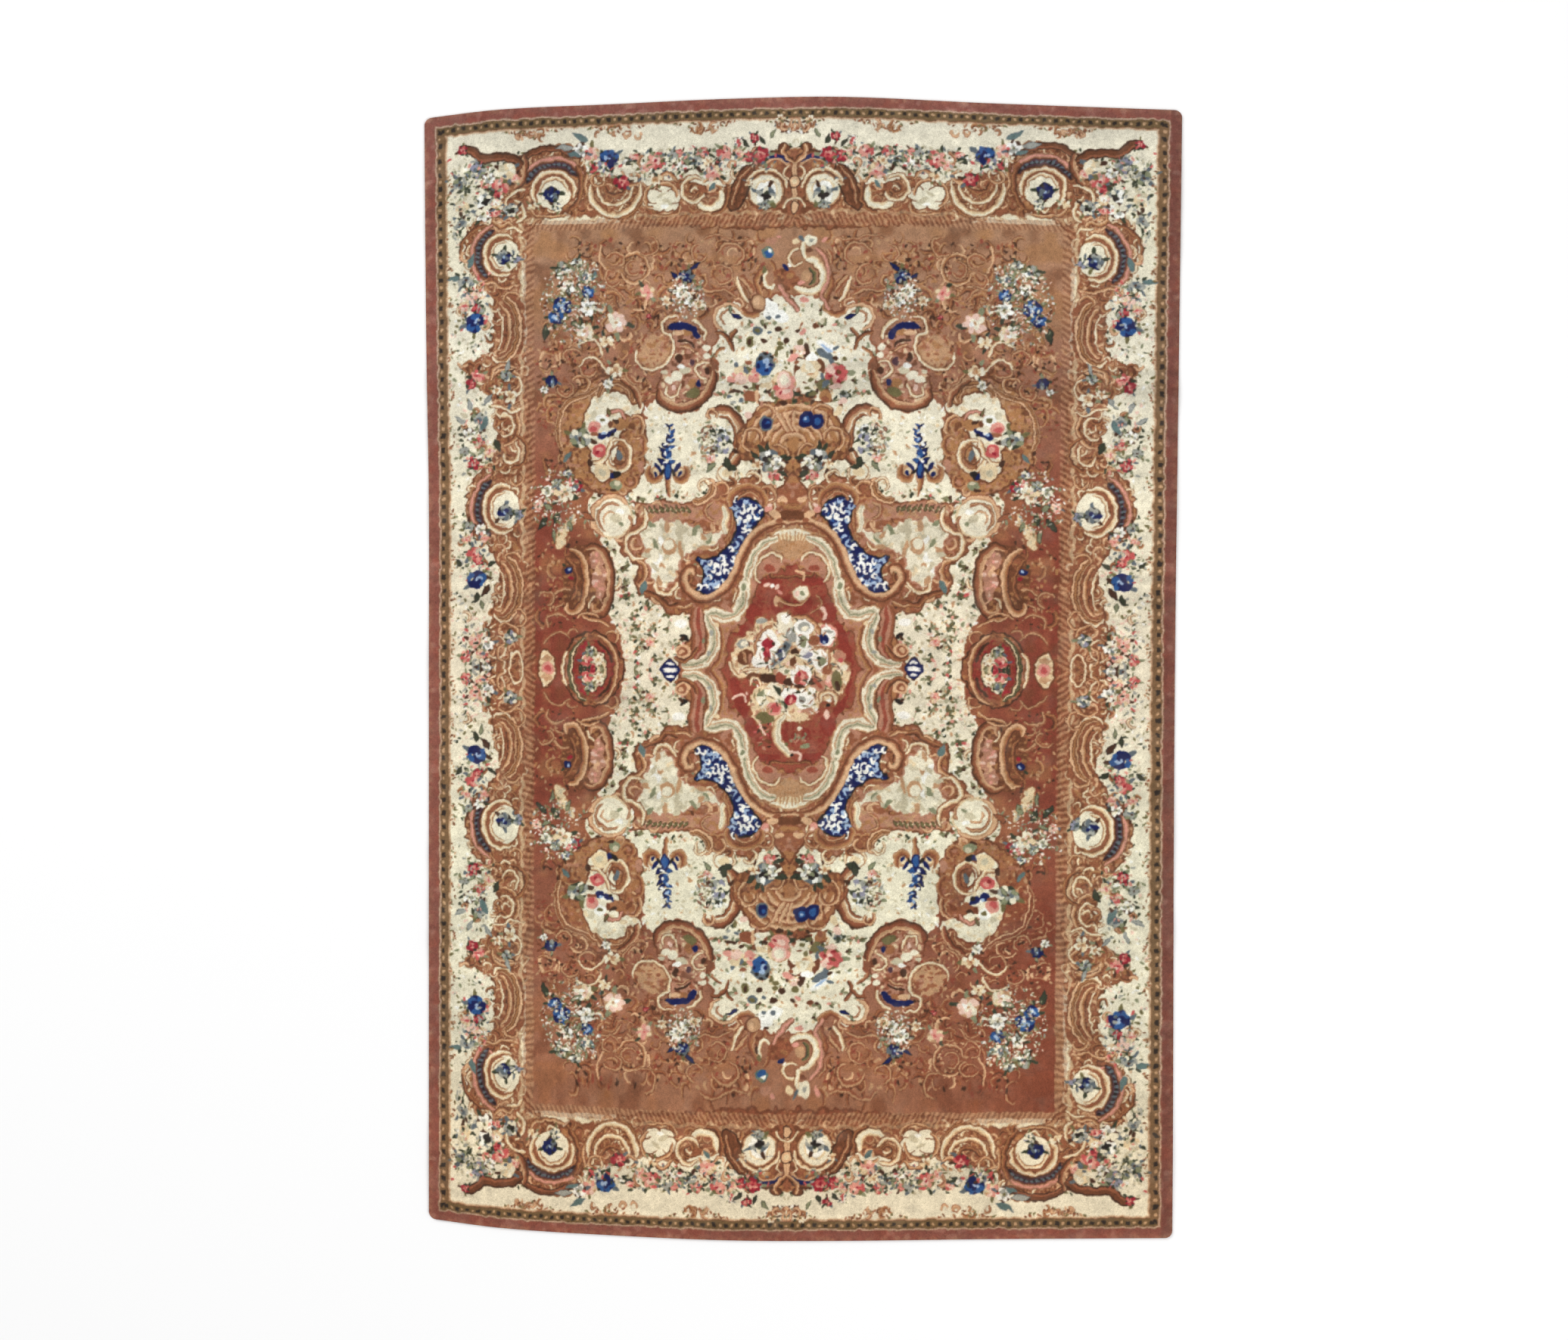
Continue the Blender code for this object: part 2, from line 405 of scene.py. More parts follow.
def clouds(shape, scale, seed):
    """Smooth random values of about unit size, scale metres across."""
    draw = np.random.default_rng(seed)
    coarse = draw.standard_normal((int(shape[0] * CELL / scale) + 4, int(shape[1] * CELL / scale) + 4))
    ways = []
    for n in shape[:2]:
        at = np.arange(n) * CELL / scale + draw.random()
        i = at.astype(int)
        f = at - i
        ways.append((i, f * f * (3 - 2 * f)))
    (i, f), (j, g) = ways
    rows = coarse[i] * (1 - f)[:, None] + coarse[i + 1] * f[:, None]
    return (rows[:, j] * (1 - g) + rows[:, j + 1] * g).astype(np.float32)


def banded(share, name):
    """The colours of a scroll's bands at these shares of its width."""
    limits = np.array([limit for limit, _ in BANDS[name][:-1]])
    return np.array([YARN[yarn] for _, yarn in BANDS[name]])[np.searchsorted(limits, share)]


def dab(x, y, long, wide, turn, yarn):
    """An oval of one yarn, with its long half axis along turn."""
    reach = max(long, wide) + CELL
    area, px, py = span(x - reach, x + reach, y - reach, y + reach)
    u, v = turned(px - x, py - y, turn)
    lay(area, inside((np.hypot(u / long, v / wide) - 1) * min(long, wide)), yarn)


def disc(x, y, across, along, rings, turn=0.0):
    """Rings of yarn from the rim inwards: (share of the radius, yarn)."""
    for share, yarn in rings:
        dab(x, y, across * share, along * share, turn, yarn)


def scroll(x, y, across, along, start, sweep, width, bands="peach", grow=0.0, taper=6.0):
    """A banded stroke round (x, y). Sweep and start are in degrees, and grow is the radius's growth.
    Taper is 6 for blunt ends and 1 for pointed ones; a negative one thins to the end only."""
    reach = max(across, along) * (1 + abs(grow)) + width
    area, px, py = span(x - reach, x + reach, y - reach, y + reach)
    u, v = px - x, py - y
    radius = np.hypot(u / across, v / along) + 1e-6
    angle = np.degrees(np.arctan2(v / along, u / across))
    share = ((angle - start) * np.sign(sweep) % 360) / abs(sweep)
    stroke(area, (radius - 1 - grow * share) * np.hypot(u, v) / radius, share, width, bands, taper)


def stroke(area, off, share, width, bands, taper):
    """Lays the bands by each cell's distance off the stroke's line and its share of the way along it."""
    along = np.clip(share, 0, 1)
    shape = (1 - along) ** 0.6 if taper < 0 else (1 - np.abs(2 * along - 1) ** taper) ** 0.5
    half = np.maximum(width / 2 * shape * (share <= 1), 1e-5)
    lay(area, inside(np.abs(off) - half), banded(off / half, bands))


def smooth_line(points, steps=6, closed=False):
    """A smooth line through the points (Catmull-Rom)."""
    pts = np.array(points, float)
    ends = (pts[-1:], pts[:2]) if closed else (pts[:1], pts[-1:])
    pts = np.concatenate([ends[0], pts, ends[1]])
    t = (np.arange(steps) / steps)[:, None]
    runs = [
        0.5 * (2 * b + (c - a) * t + (2 * a - 5 * b + 4 * c - d) * t**2 + (3 * b - a - 3 * c + d) * t**3)
        for a, b, c, d in zip(pts, pts[1:], pts[2:], pts[3:])
    ]
    return np.concatenate(runs if closed else runs + [pts[-2:-1]]).astype(np.float32)


def nearest(line, px, py, closed=False):
    """Each cell's distance to a line, the side it lies on, its share along, and whether it is enclosed."""
    best = np.full(px.shape, 9.0, np.float32)
    side, share, odd = np.zeros_like(best), np.zeros_like(best), np.zeros(px.shape, bool)
    last = len(line) if closed else len(line) - 1
    for i in range(last):
        (ax, ay), (bx, by) = line[i], line[(i + 1) % len(line)]
        ex, ey = bx - ax, by - ay
        wx, wy = px - ax, py - ay
        t = np.clip((wx * ex + wy * ey) / max(ex * ex + ey * ey, 1e-12), 0, 1)
        d = (wx - ex * t) ** 2 + (wy - ey * t) ** 2
        closer = d < best
        np.copyto(best, d, where=closer)
        if closed:
            odd ^= ((ay > py) != (by > py)) & (px < (py - ay) / (by - ay if by != ay else 1) * ex + ax)
        else:
            np.copyto(side, wx * ey - wy * ex, where=closer)
            np.copyto(share, (i + t) / last, where=closer)
    return np.sqrt(best), np.sign(side), share, odd


def patch(points, yarn, rim=None, rim_width=0.006, rough=0.0, seed=0, mottle=()):
    """A shape with a smooth, slightly ragged outline: its rim, its ground, and mottles of other yarns."""
    line = smooth_line(points, 6, True)
    (x0, y0), (x1, y1) = line.min(axis=0) - 0.02, line.max(axis=0) + 0.02
    area, px, py = span(x0, x1, y0, y1)
    distance, _, _, enclosed = nearest(line, px, py, True)
    distance = np.where(enclosed, -distance, distance) + rough * clouds(px.shape, 0.022, seed)
    if rim:
        lay(area, inside(distance - rim_width / 2), rim)
    cover = inside(distance + (rim_width / 2 if rim else 0))
    lay(area, cover, yarn)
    for n, other in enumerate(mottle):
        lay(area, cover * np.clip(clouds(px.shape, 0.018, seed + 7 * n + 1) * 2 - 1, 0, 0.85), other)


def ribbon(points, width, bands="peach", taper=6.0):
    """A banded stroke along a smooth line; -1 is its left edge as it runs, 1 its right edge."""
    line = smooth_line(points)
    (x0, y0), (x1, y1) = line.min(axis=0) - width, line.max(axis=0) + width
    area, px, py = span(x0, x1, y0, y1)
    distance, side, share, _ = nearest(line, px, py)
    stroke(area, distance * np.where(side == 0, 1, side), share, width, bands, taper)


def each(work, rows):
    for row in rows:
        work(*row)


def leaf(x, y, length, width, turn, yarns=("bottle", "sage"), bend=0.12):
    """A leaf from its stalk, pointing along turn: its edge and its blade."""
    reach = length + width
    area, px, py = span(x - reach, x + reach, y - reach, y + reach)
    u, v = turned(px - x, py - y, turn)
    s = np.clip(u / length, 0, 1)
    off = np.abs(v - bend * length * s * s) - width / 2 * np.sin(math.pi * s**0.8)
    lay(area, inside(off) * (s > 0) * (s < 1), yarns[0])
    lay(area, inside(off + 1.3 * CELL) * (s > 0.06) * (s < 0.94), yarns[1])


KINDS = {  # the yarns of a flower: behind it, its outer petals, its inner ones, its heart
    "red": ("bottle", ("crimson", "rose", "crimson"), ("rose", "pink"), "crimson"),
    "pink": ("moss", ("rose", "pink", "pink"), ("pink", "blush", "rose"), "crimson"),
    "soft": ("tan", ("pink", "blush", "cream"), ("blush", "pink"), "rose"),
    "pale": ("tan", ("blush", "ivory", "cream"), ("ivory", "blush", "white"), "tan"),
    "white": ("umber", ("white", "ivory", "white"), ("grey", "ivory"), "moss"),
    "ivory": ("brown", ("ivory", "cream", "ivory"), ("tan", "cream"), "ochre"),
    "cream rose": ("cream", ("ivory", "cream", "stone"), ("ivory", "cream"), "stone"),
    "grey": ("bottle", ("grey", "ivory", "sage"), ("slate", "grey"), "umber"),
    "lilac": ("bottle", ("grey", "lilac", "ivory"), ("slate", "ivory"), "bottle"),
    "navy": ("black", ("slate", "navy", "grey"), ("navy", "slate"), "sky"),
    "cobalt": ("navy", ("blue", "blue", "navy"), ("navy", "sky"), "sky"),
    "dark": ("slate", ("white", "ivory", "grey"), ("bottle", "black"), "black"),
}


def flower(x, y, size, kind, leaves=3):
    """A blown flower: leaves behind it, two rings of petals and its heart."""
    behind, outer, inner, heart = KINDS[kind]
    draw = np.random.default_rng(int(abs(x * 1733 + y * 3571) * 10) + 1)
    start = draw.random() * 360
    for k in range(leaves):
        a = start + 360 * k / leaves + 30 * draw.normal()
        green = ("bottle", "sage", "moss", "umber", "slate")[int(draw.integers(5))]
        c, s = math.cos(math.radians(a)), math.sin(math.radians(a))
        dab(x + 1.05 * size * c, y + 1.05 * size * s, size * 0.5, size * 0.2, a, green)
    dab(x, y, size * 0.92, size * 0.82, start, behind)
    for count, reach, long, wide, yarns in ((7, 0.62, 0.36, 0.26, outer), (4, 0.27, 0.26, 0.2, inner)):
        for k in range(count):
            a = start + 360 * k / count + 14 * draw.normal()
            c, s = math.cos(math.radians(a)), math.sin(math.radians(a))
            petal = yarns[int(draw.integers(len(yarns)))]
            dab(x + reach * size * c, y + 0.9 * reach * size * s, long * size, wide * size, a + 25, petal)
    dab(x, y, size * 0.16, size * 0.13, start, heart)


def strew(box, pitch, keep, seed, bare, lay_one):
    """Lays small things at uneven steps over the part of a box where the paper is still bare."""
    draw = np.random.default_rng(seed)
    for y in np.arange(box[2], box[3], pitch):
        for x in np.arange(box[0], box[1], pitch):
            sx, sy = x + pitch * draw.random(), y + pitch * draw.random()
            column, row = int(sx / CELL), int(sy / CELL)
            kept, on_paper = draw.random() < keep, column < paper.shape[1] and row < paper.shape[0]
            if kept and on_paper and bare(paper[row, column], sx, sy):
                lay_one(sx, sy, draw)


def curls(names, small, large):
    """Gives the laying of one small curl, of any of the bands named."""
    def lay_curl(x, y, draw):
        r = small + (large - small) * draw.random()
        way = (1, -1)[int(draw.integers(2))]
        along, start = r * (0.8 + 0.5 * draw.random()), 360 * draw.random()
        sweep, bands = way * (170 + 120 * draw.random()), names[int(draw.integers(len(names)))]
        scroll(x, y, r, along, start, sweep, 0.012 + 0.26 * r, bands, -0.35, 2.0)
    return lay_curl


def dabs(names, small, large, count=4, loose=1.6):
    """Gives the laying of one small knot of dabs: leaves, buds and petals."""
    def lay_dabs(x, y, draw):
        size = small + (large - small) * draw.random()
        for k in range(count):
            sx, sy = x + loose * size * draw.normal(), y + loose * size * draw.normal()
            dab(sx, sy, size, size * 0.55, 360 * draw.random(), names[int(draw.integers(len(names)))])
    return lay_dabs


# The grounds: the red-brown field, the ivory ground that opens in its middle, the ivory border with the
# brown ground of its inner side, the slanted strokes between, and the guard stripes inside the plain band.
whole = (slice(None), slice(None))
_, P, Q = span(0, PATTERN_WIDTH / 2 - CELL, 0, PATTERN_LENGTH / 2 - CELL)
P, Q = P[:paper.shape[0], :paper.shape[1]], Q[:paper.shape[0], :paper.shape[1]]
# the field's colour, lighter and browner towards the ends and redder towards the middle
FIELD_TONE = (  # place along the carpet, and the field's colour there
    (0, (136, 76, 60)), (0.5, (138, 80, 62)), (0.9, (145, 90, 70)),
    (1.5, (156, 108, 86)), (1.9, (166, 122, 97)), (2.4, (170, 129, 101)),
)
SIDE_RED = np.array((132, 62, 50), np.float32)
for k in range(3):
    paper[..., k] = np.interp(Q, [q for q, _ in FIELD_TONE], [dye[k] for _, dye in FIELD_TONE])
lay(whole, 0.6 * np.clip((P - 1.1) / 0.25, 0, 1) * np.clip((1.25 - Q) / 0.5, 0, 1), SIDE_RED)
for yarn, size, seed, clear, weight in (("ochre", 0.085, 7, 0.1, 0.55), ("brown", 0.07, 8, 0.2, 0.5)):
    lay(whole, np.clip(clouds(P.shape, size, seed) - clear, 0, 1) * weight, yarn)


def is_field(yarn, x, y):
    return True


for box, pitch, keep, seed, names in (
    ((0.15, 1.16, 1.90, 2.30), 0.070, 0.85, 11, ("field curl", "ochre", "field curl", "pale curl", "rust")),
    ((0.62, 1.30, 1.45, 1.95), 0.070, 0.85, 12, ("field curl", "ochre", "pale curl", "rust")),
    ((1.12, 1.36, 1.24, 1.74), 0.095, 0.55, 13, ("field curl", "ochre", "rust")),
    ((1.16, 1.36, 0.22, 0.72), 0.10, 0.55, 14, ("field curl", "ochre", "rust")),
    ((0.75, 1.30, 0.90, 1.45), 0.085, 0.6, 15, ("field curl", "ochre", "rust")),
):
    strew(box, pitch, keep, seed, is_field, curls(names, 0.028, 0.058))
    earths = dabs(("brown", "ochre", "tan", "rust", "umber", "brick"), 0.008, 0.014, 2)
    strew(box, 0.034, 0.6, seed + 5, is_field, earths)

IVORY_GROUND = (
    (0, 1.98), (0.12, 1.99), (0.18, 1.91), (0.24, 1.90), (0.30, 1.96), (0.38, 1.95), (0.42, 1.88),
    (0.40, 1.78), (0.44, 1.70), (0.40, 1.62), (0.42, 1.52), (0.5, 1.41), (0.62, 1.38), (0.74, 1.45),
    (0.8, 1.38), (0.8, 1.25), (0.84, 1.1), (0.9, 0.98), (1.06, 0.97), (1.12, 0.86), (1.08, 0.74),
    (0.98, 0.6), (0.97, 0.48), (1.0, 0.34), (0.97, 0.25), (0.93, 0.15), (0.9, 0), (0.9, -0.1), (-0.1, -0.1),
    (-0.1, 1.0), (0, 1.45), (-0.05, 1.7),
)
patch(IVORY_GROUND, "ivory", "rust", 0.014, 0.007, 1)


def is_ivory(yarn, x, y):
    return yarn.min() > 185


LEAF_FLECKS = ("sage", "stone", "tan", "white", "moss", "bottle", "blush", "cream")
PALE_FLECKS = ("stone", "stone", "tan", "white", "sage", "cream")
strew((0.0, 1.15, 0.0, 0.95), 0.036, 0.75, 82, is_ivory, dabs(LEAF_FLECKS, 0.006, 0.014, 3))
strew((0.0, 1.15, 0.95, 2.0), 0.045, 0.55, 85, is_ivory, dabs(PALE_FLECKS, 0.006, 0.013, 3))


def lay_sprig(x, y, draw):
    """A small sprig: three leaves from one stalk and a bud."""
    greens = (("moss", "sage"), ("bottle", "moss"), ("sage", "stone"))
    turn = 360 * draw.random()
    for bend in (-50, 0, 50):
        length, lean = 0.026 + 0.022 * draw.random(), turn + bend + 20 * draw.normal()
        leaf(x, y, length, 0.017, lean, greens[int(draw.integers(3))])
    dab(x, y, 0.011, 0.008, turn, ("pink", "rose", "umber", "dusty")[int(draw.integers(4))])


strew((0.5, 1.15, 0.0, 0.95), 0.068, 0.85, 80, is_ivory, lay_sprig)
strew((0.1, 0.5, 1.4, 1.9), 0.09, 0.7, 81, is_ivory, lay_sprig)

BORDER_FROM = (1.44, 2.405)  # across and along, as are the other places of the long stripes
lay(whole, inside(-np.maximum(P - BORDER_FROM[0], Q - BORDER_FROM[1])), "ivory")
BORDER_FLECKS = ("sage", "stone", "white", "moss", "stone", "bottle", "blush", "grey")
for box, seed in (((0.0, 1.80, 2.62, 2.79), 83), ((1.62, 1.80, 0.0, 2.70), 84)):
    strew(box, 0.044, 0.65, seed, is_ivory, dabs(BORDER_FLECKS, 0.006, 0.013, 4))
INNER_GROUND = (
    (0, 2.76), (0.2, 2.72), (0.28, 2.62), (0.4, 2.58), (0.62, 2.62), (0.8, 2.6), (0.92, 2.66), (1.1, 2.68),
    (1.17, 2.79), (1.32, 2.82), (1.47, 2.79), (1.55, 2.70), (1.52, 2.56), (1.6, 2.45), (1.75, 2.4),
    (1.77, 2.28), (1.74, 2.14), (1.64, 2.06), (1.61, 1.9), (1.63, 1.72), (1.76, 1.64), (1.74, 1.55),
    (1.64, 1.48), (1.6, 1.35), (1.6, 1.2), (1.66, 1.1), (1.75, 1.0), (1.78, 0.86), (1.75, 0.74),
    (1.66, 0.66), (1.59, 0.5), (1.62, 0.35), (1.65, 0.2), (1.64, -0.05), (1.42, -0.05), (1.42, 1.2),
    (1.42, 2.38), (0.7, 2.38), (-0.05, 2.38), (-0.05, 2.76),
)
patch(INNER_GROUND, "rust", "brown", 0.010, 0.008, 5, ("ochre", "brown", "tan"))


def in_border(yarn, x, y):
    return max(x - 1.45, y - 2.42) > 0 and yarn.min() < 140


for box, seed in (((0.0, 1.80, 2.40, 2.84), 21), ((1.42, 1.80, 0.0, 2.44), 22)):
    border_curls = curls(("pale curl", "ochre", "curl", "rust", "cream"), 0.016, 0.036)
    strew(box, 0.040, 0.95, seed, in_border, border_curls)

# slanted strokes, and the wavy cream cord beside them
STROKES_FROM, STROKES_WIDE = (1.40, 2.375), 0.055
edge = np.maximum(P - STROKES_FROM[0], Q - STROKES_FROM[1])
at_end = Q - STROKES_FROM[1] > P - STROKES_FROM[0]
slant = np.where(
    at_end, np.sin(2 * np.pi * (P + 0.5 * Q) / 0.026), np.sin(2 * np.pi * (Q + 0.6 * P) / 0.036)
)
strip = (edge > -0.004) & (edge < STROKES_WIDE)
lay(whole, strip * 0.35, "rust")
lay(whole, strip * np.clip(slant * 1.6 + 0.1, 0, 1) * 0.42, "peach")
lay(whole, strip * np.clip(-slant * 1.6 - 0.9, 0, 1) * 0.35, "umber")
waver = 0.007 * np.sin(2 * np.pi * np.where(at_end, P, Q) / 0.11)
lay(whole, inside(np.abs(edge - 0.066 - waver) - 0.010) * np.where(at_end, 0.35, 0.6), "cream")
lay(whole, inside(np.abs(edge - 0.082 - waver) - 0.005) * 0.55, "rust")

# guard stripes of dark squares and pale specks on moss and brown, and the plain outer band
GUARD_FROM, GUARD_WIDE = (1.866, 2.932), 0.066
OUTER_RED = np.array((138, 86, 75), np.float32)
rim = np.maximum(P - GUARD_FROM[0], Q - GUARD_FROM[1])
side = P - GUARD_FROM[0] > Q - GUARD_FROM[1]
repeats = np.where(side, Q / 0.077, P / 0.060)
step = repeats % 1
lay(whole, np.clip(rim / 0.008 + 0.5, 0, 1) * 0.75, "tan")
lay(whole, np.clip(rim / 0.006 - 1, 0, 1) * np.where(side, 0.75, 0.9), "brown")
lay(whole, (rim > 0.012) * np.where(side, 0.35, 0.55), "moss")
middle = np.where(side, 0.040, 0.036)
lay(whole, (np.abs(rim - middle) < 0.010) * (np.abs(step - 0.5) < 0.16) * 0.85, "black")
past_speck = (step - 1 + (step < 0.5)) * 0.065
for offset, size, weight, yarn in ((0.0, 0.008, 0.75, "peach"), (0.016, 0.004, 0.6, "umber")):
    lay(whole, inside(np.hypot(past_speck, rim - middle - offset) - size) * weight, yarn)
lay(whole, inside(np.abs(rim - 0.060) - 0.004) * 0.7, "blush")
outer = rim - GUARD_WIDE > 0
lay(whole, outer * 1.0, OUTER_RED)
lay(whole, outer * np.clip(clouds(P.shape, 0.05, 9), 0, 1) * 0.35, "brick")
lay(whole, outer * np.clip(clouds(P.shape, 0.03, 10) - 0.4, 0, 1) * 0.2, "blush")


# The border's scrollwork: cream and peach scrolls on the brown inner ground, round shells with blue
# beaded crescents, and long C scrolls between them along the sides.
for x, y, a, b, turn in ((1.58, .86, .1, .13, 0), (1.57, 2.235, .095, .12, 8), (1.29, 2.6, .115, .105, 82)):
    scroll(x, y, a + .07, b + .07, -70 + turn, 140, .03, "old rose")
    scroll(x, y, a + .038, b + .038, -62 + turn, 128, .042, "crescent")
    disc(x, y, a, b, ((1, "brown"), (.94, "ochre"), (.86, "rust")))
    c, s = math.cos(math.radians(turn)), math.sin(math.radians(turn))
    dab(x - .02 * c, y - .02 * s, .8 * a, .8 * b, 0, "ivory")
    scroll(x, y, a, b, -128 + turn, 250, .034, "cream")
    scroll(x - .004, y, a * .66, b * .68, -105 + turn, 210, .022, "cream")
    for k in range(11):
        t = math.radians(turn - 52 + 10.4 * k)
        dab(x + (a + .04) * math.cos(t), y + (b + .04) * math.sin(t), .012, .007, 20, "slate")
for x, y in ((1.585, .43), (1.585, 1.83)):
    ground = ((-.13, .12), (-.06, .19), (.01, .15), (-.02, .02), (0, -.12), (.01, -.2), (-.07, -.2),
        (-.13, -.08))
    patch([(x + u, y + v) for u, v in ground], "rust", None, .006, .004, 3, ("brown", "tan"))
    scroll(x, y, .105, .17, 95, 190, .05, "triple")
    scroll(x + .015, y, .07, .135, 105, 155, .034, "peach")
    scroll(x + .02, y, .035, .105, 100, 160, .022, "cream")
    scroll(x - .01, y - .145, .05, .035, 195, 170, .022, "cream")
    scroll(x - .065, y + .155, .04, .04, 0, 170, .02, "peach")
each(scroll, (
    (1.56, 1.31, .045, .06, 60, 250, .024, "cream"), (1.575, 1.31, .09, .105, 80, 190, .026, "peach"),
    (1.53, 1.17, .045, .06, 120, 230, .022, "cream"), (1.52, 1.17, .08, .09, 100, 180, .022, "rust"),
    (1.55, 1.55, .075, .06, 0, 250, .026, "peach"), (1.61, .11, .05, .06, 90, 240, .018, "cream"),
    (1.5, 0, .036, .085, -90, 359, .022, "cream"), (1.66, 2.05, .05, .035, 20, 200, .02, "peach"),
    (1.67, 1.06, .05, .03, 20, 200, .018, "peach"), (1.5, 1.52, .035, .05, 60, 240, .018, "cream"),
    (1.49, .27, .04, .045, 60, 250, .018, "peach"), (1.5, 1.03, .035, .04, 120, 240, .018, "peach"),
))
each(ribbon, (
    (((1.5, 1.62), (1.56, 1.64), (1.62, 1.61), (1.63, 1.55)), .026, "peach"),
    (((1.47, 1.4), (1.52, 1.38), (1.57, 1.41), (1.64, 1.42)), .022, "cream"),
    (((1.6, .22), (1.56, .24), (1.51, .22), (1.48, .18)), .02, "peach"),
    (((1.56, .13), (1.6, .1), (1.6, .05), (1.57, .03)), .02, "peach"),
    (((1.5, 2.06), (1.56, 2.05), (1.63, 2.08), (1.7, 2.05)), .022, "peach"),
    (((1.66, 2.42), (1.72, 2.4), (1.78, 2.34), (1.8, 2.26)), .022, "rust"),
    (((1.5, 2.56), (1.46, 2.52), (1.45, 2.46), (1.49, 2.42)), .028, "cream"),
    (((1.44, 2.62), (1.49, 2.61), (1.54, 2.57), (1.55, 2.51)), .026, "cream"),
    (((1.62, 2.44), (1.58, 2.41), (1.53, 2.42), (1.5, 2.38)), .026, "peach"),
    (((1.46, 2.36), (1.49, 2.39), (1.55, 2.39)), .024, "cream"),
))
# along the ends: a stem on the middle line, roundels, cups and rings
patch(((-.05, 2.75), (.09, 2.77), (.2, 2.7), (.25, 2.6), (.24, 2.5), (.12, 2.45), (-.05, 2.45)), "rust",
    None, .006, .008, 12, ("ochre", "brown"))
disc(.15, 2.555, .1, .1, ((1, "brown"), (.93, "tan"), (.86, "ivory"), (.6, "cream"), (.5, "white")))
scroll(.1, 2.665, .085, .08, 15, 160, .05, "curled back")
scroll(.1, 2.665, .078, .074, 40, 110, .02, "navy line", 0, 2)
disc(.115, 2.69, .024, .018, ((1, "ochre"), (.5, "tan")))
disc(.06, 2.785, .034, .024, ((1, "umber"), (.8, "brown")))
patch(((.21, 2.7), (.28, 2.67), (.33, 2.58), (.35, 2.47), (.3, 2.46), (.25, 2.54), (.22, 2.62)), "brown",
    "umber", .008, .003, 13, ("rust",))
ribbon(((.23, 2.68), (.28, 2.62), (.31, 2.55), (.325, 2.48)), .02, "curled back")
each(ribbon, (
    (((0, 2.44), (0, 2.62), (0, 2.71)), .036, "peach"),
    (((0, 2.7), (.03, 2.72), (.06, 2.76), (.05, 2.8)), .026, "peach"),
    (((0, 2.6), (.04, 2.62), (.055, 2.66), (.03, 2.68)), .018, "cream"),
    (((0, 2.52), (.04, 2.5), (.06, 2.46)), .022, "cream"),
    (((.385, 2.57), (.385, 2.51), (.42, 2.475), (.48, 2.475), (.52, 2.51)), .045, "ivory"),
    (((.36, 2.6), (.355, 2.52), (.38, 2.46), (.44, 2.44)), .022, "rust"),
    (((.62, 2.62), (.66, 2.665), (.71, 2.66), (.7, 2.61)), .022, "peach"),
    (((.6, 2.5), (.62, 2.45), (.68, 2.435), (.76, 2.45)), .018, "peach"),
    (((1.16, 2.77), (1.24, 2.82), (1.34, 2.83), (1.44, 2.79), (1.5, 2.7)), .04, "brown"),
    (((1.45, 2.8), (1.435, 2.73), (1.46, 2.66), (1.5, 2.62)), .034, "curled back"),
    (((1.17, 2.74), (1.14, 2.66), (1.15, 2.56), (1.2, 2.48)), .03, "rust"),
    (((1.1, 2.7), (1.12, 2.62), (1.1, 2.55)), .022, "peach"),
    (((.8, 2.6), (.82, 2.52), (.88, 2.45), (.95, 2.435)), .026, "rust"),
    (((1.42, 2.5), (1.38, 2.46), (1.3, 2.45), (1.22, 2.46)), .02, "peach"),
    (((1.45, 2.75), (1.52, 2.79), (1.6, 2.8), (1.68, 2.8), (1.74, 2.85), (1.8, 2.86)), .052, "brown"),
))
disc(.002, 2.6, .032, .032, ((1, "umber"), (.8, "peach"), (.4, "cream")))
disc(0, 2.465, .022, .035, ((1, "umber"), (.8, "peach")))
for x, y in ((.66, 2.5), (.73, 2.5), (.69, 2.57), (.64, 2.545), (.745, 2.55)):
    disc(x, y, .048, .044, ((1, "brown"), (.88, "ivory")))
each(dab, ((.69, 2.53, .05, .04, 0, "ivory"), (.67, 2.51, .03, .012, 30, "stone"),
    (.71, 2.55, .026, .01, -30, "stone"), (.69, 2.49, .02, .01, 0, "white")))
each(scroll, (
    (.15, 2.565, .108, .105, 10, 170, .026, "cream"), (.535, 2.575, .062, .068, 200, 300, .03, "cream"),
    (.535, 2.575, .028, .03, 180, 300, .018, "rust"), (.43, 2.6, .05, .04, 10, 170, .018, "peach"),
    (.71, 2.545, .085, .075, -60, 250, .026, "peach"), (.955, 2.6, .135, .15, 170, 200, .042, "cream"),
    (.955, 2.61, .095, .1, 175, 190, .03, "cream"), (.955, 2.62, .06, .055, 180, 180, .02, "rust"),
    (.86, 2.645, .035, .03, 60, 300, .02, "peach"), (1.05, 2.65, .035, .03, 120, -300, .02, "peach"),
))

# The field's scrollwork: C scrolls and cartouches round the ivory ground, faint curls on the open field,
# and the blue and white sprays that hang in the ivory.
each(ribbon, (
    (((.15, 2.16), (.2, 2.08), (.18, 2.0), (.17, 1.93), (.23, 1.89), (.29, 1.93)), .034, "ochre"),
    (((.3, 2.1), (.28, 2.02), (.24, 1.96)), .03, "cream"),
    (((.32, 1.7), (.335, 1.77), (.3, 1.82)), .022, "rust"),
    (((.335, 1.75), (.37, 1.79), (.42, 1.8)), .022, "rust"),
    (((.36, 1.72), (.4, 1.7), (.43, 1.66)), .018, "ochre"),
    (((.3, 1.99), (.38, 2.03), (.46, 2.02), (.52, 2.07)), .022, "curl"),
    (((.48, 2.3), (.4, 2.32), (.3, 2.29), (.22, 2.3)), .018, "curl"),
    (((.9, 1.98), (.95, 2.04), (1.03, 2.05)), .02, "curl"),
    (((.99, 2.12), (1.04, 2.2), (1.03, 2.28)), .016, "pale curl"),
))
disc(.335, 1.882, .058, .05, ((1, "ivory"),))
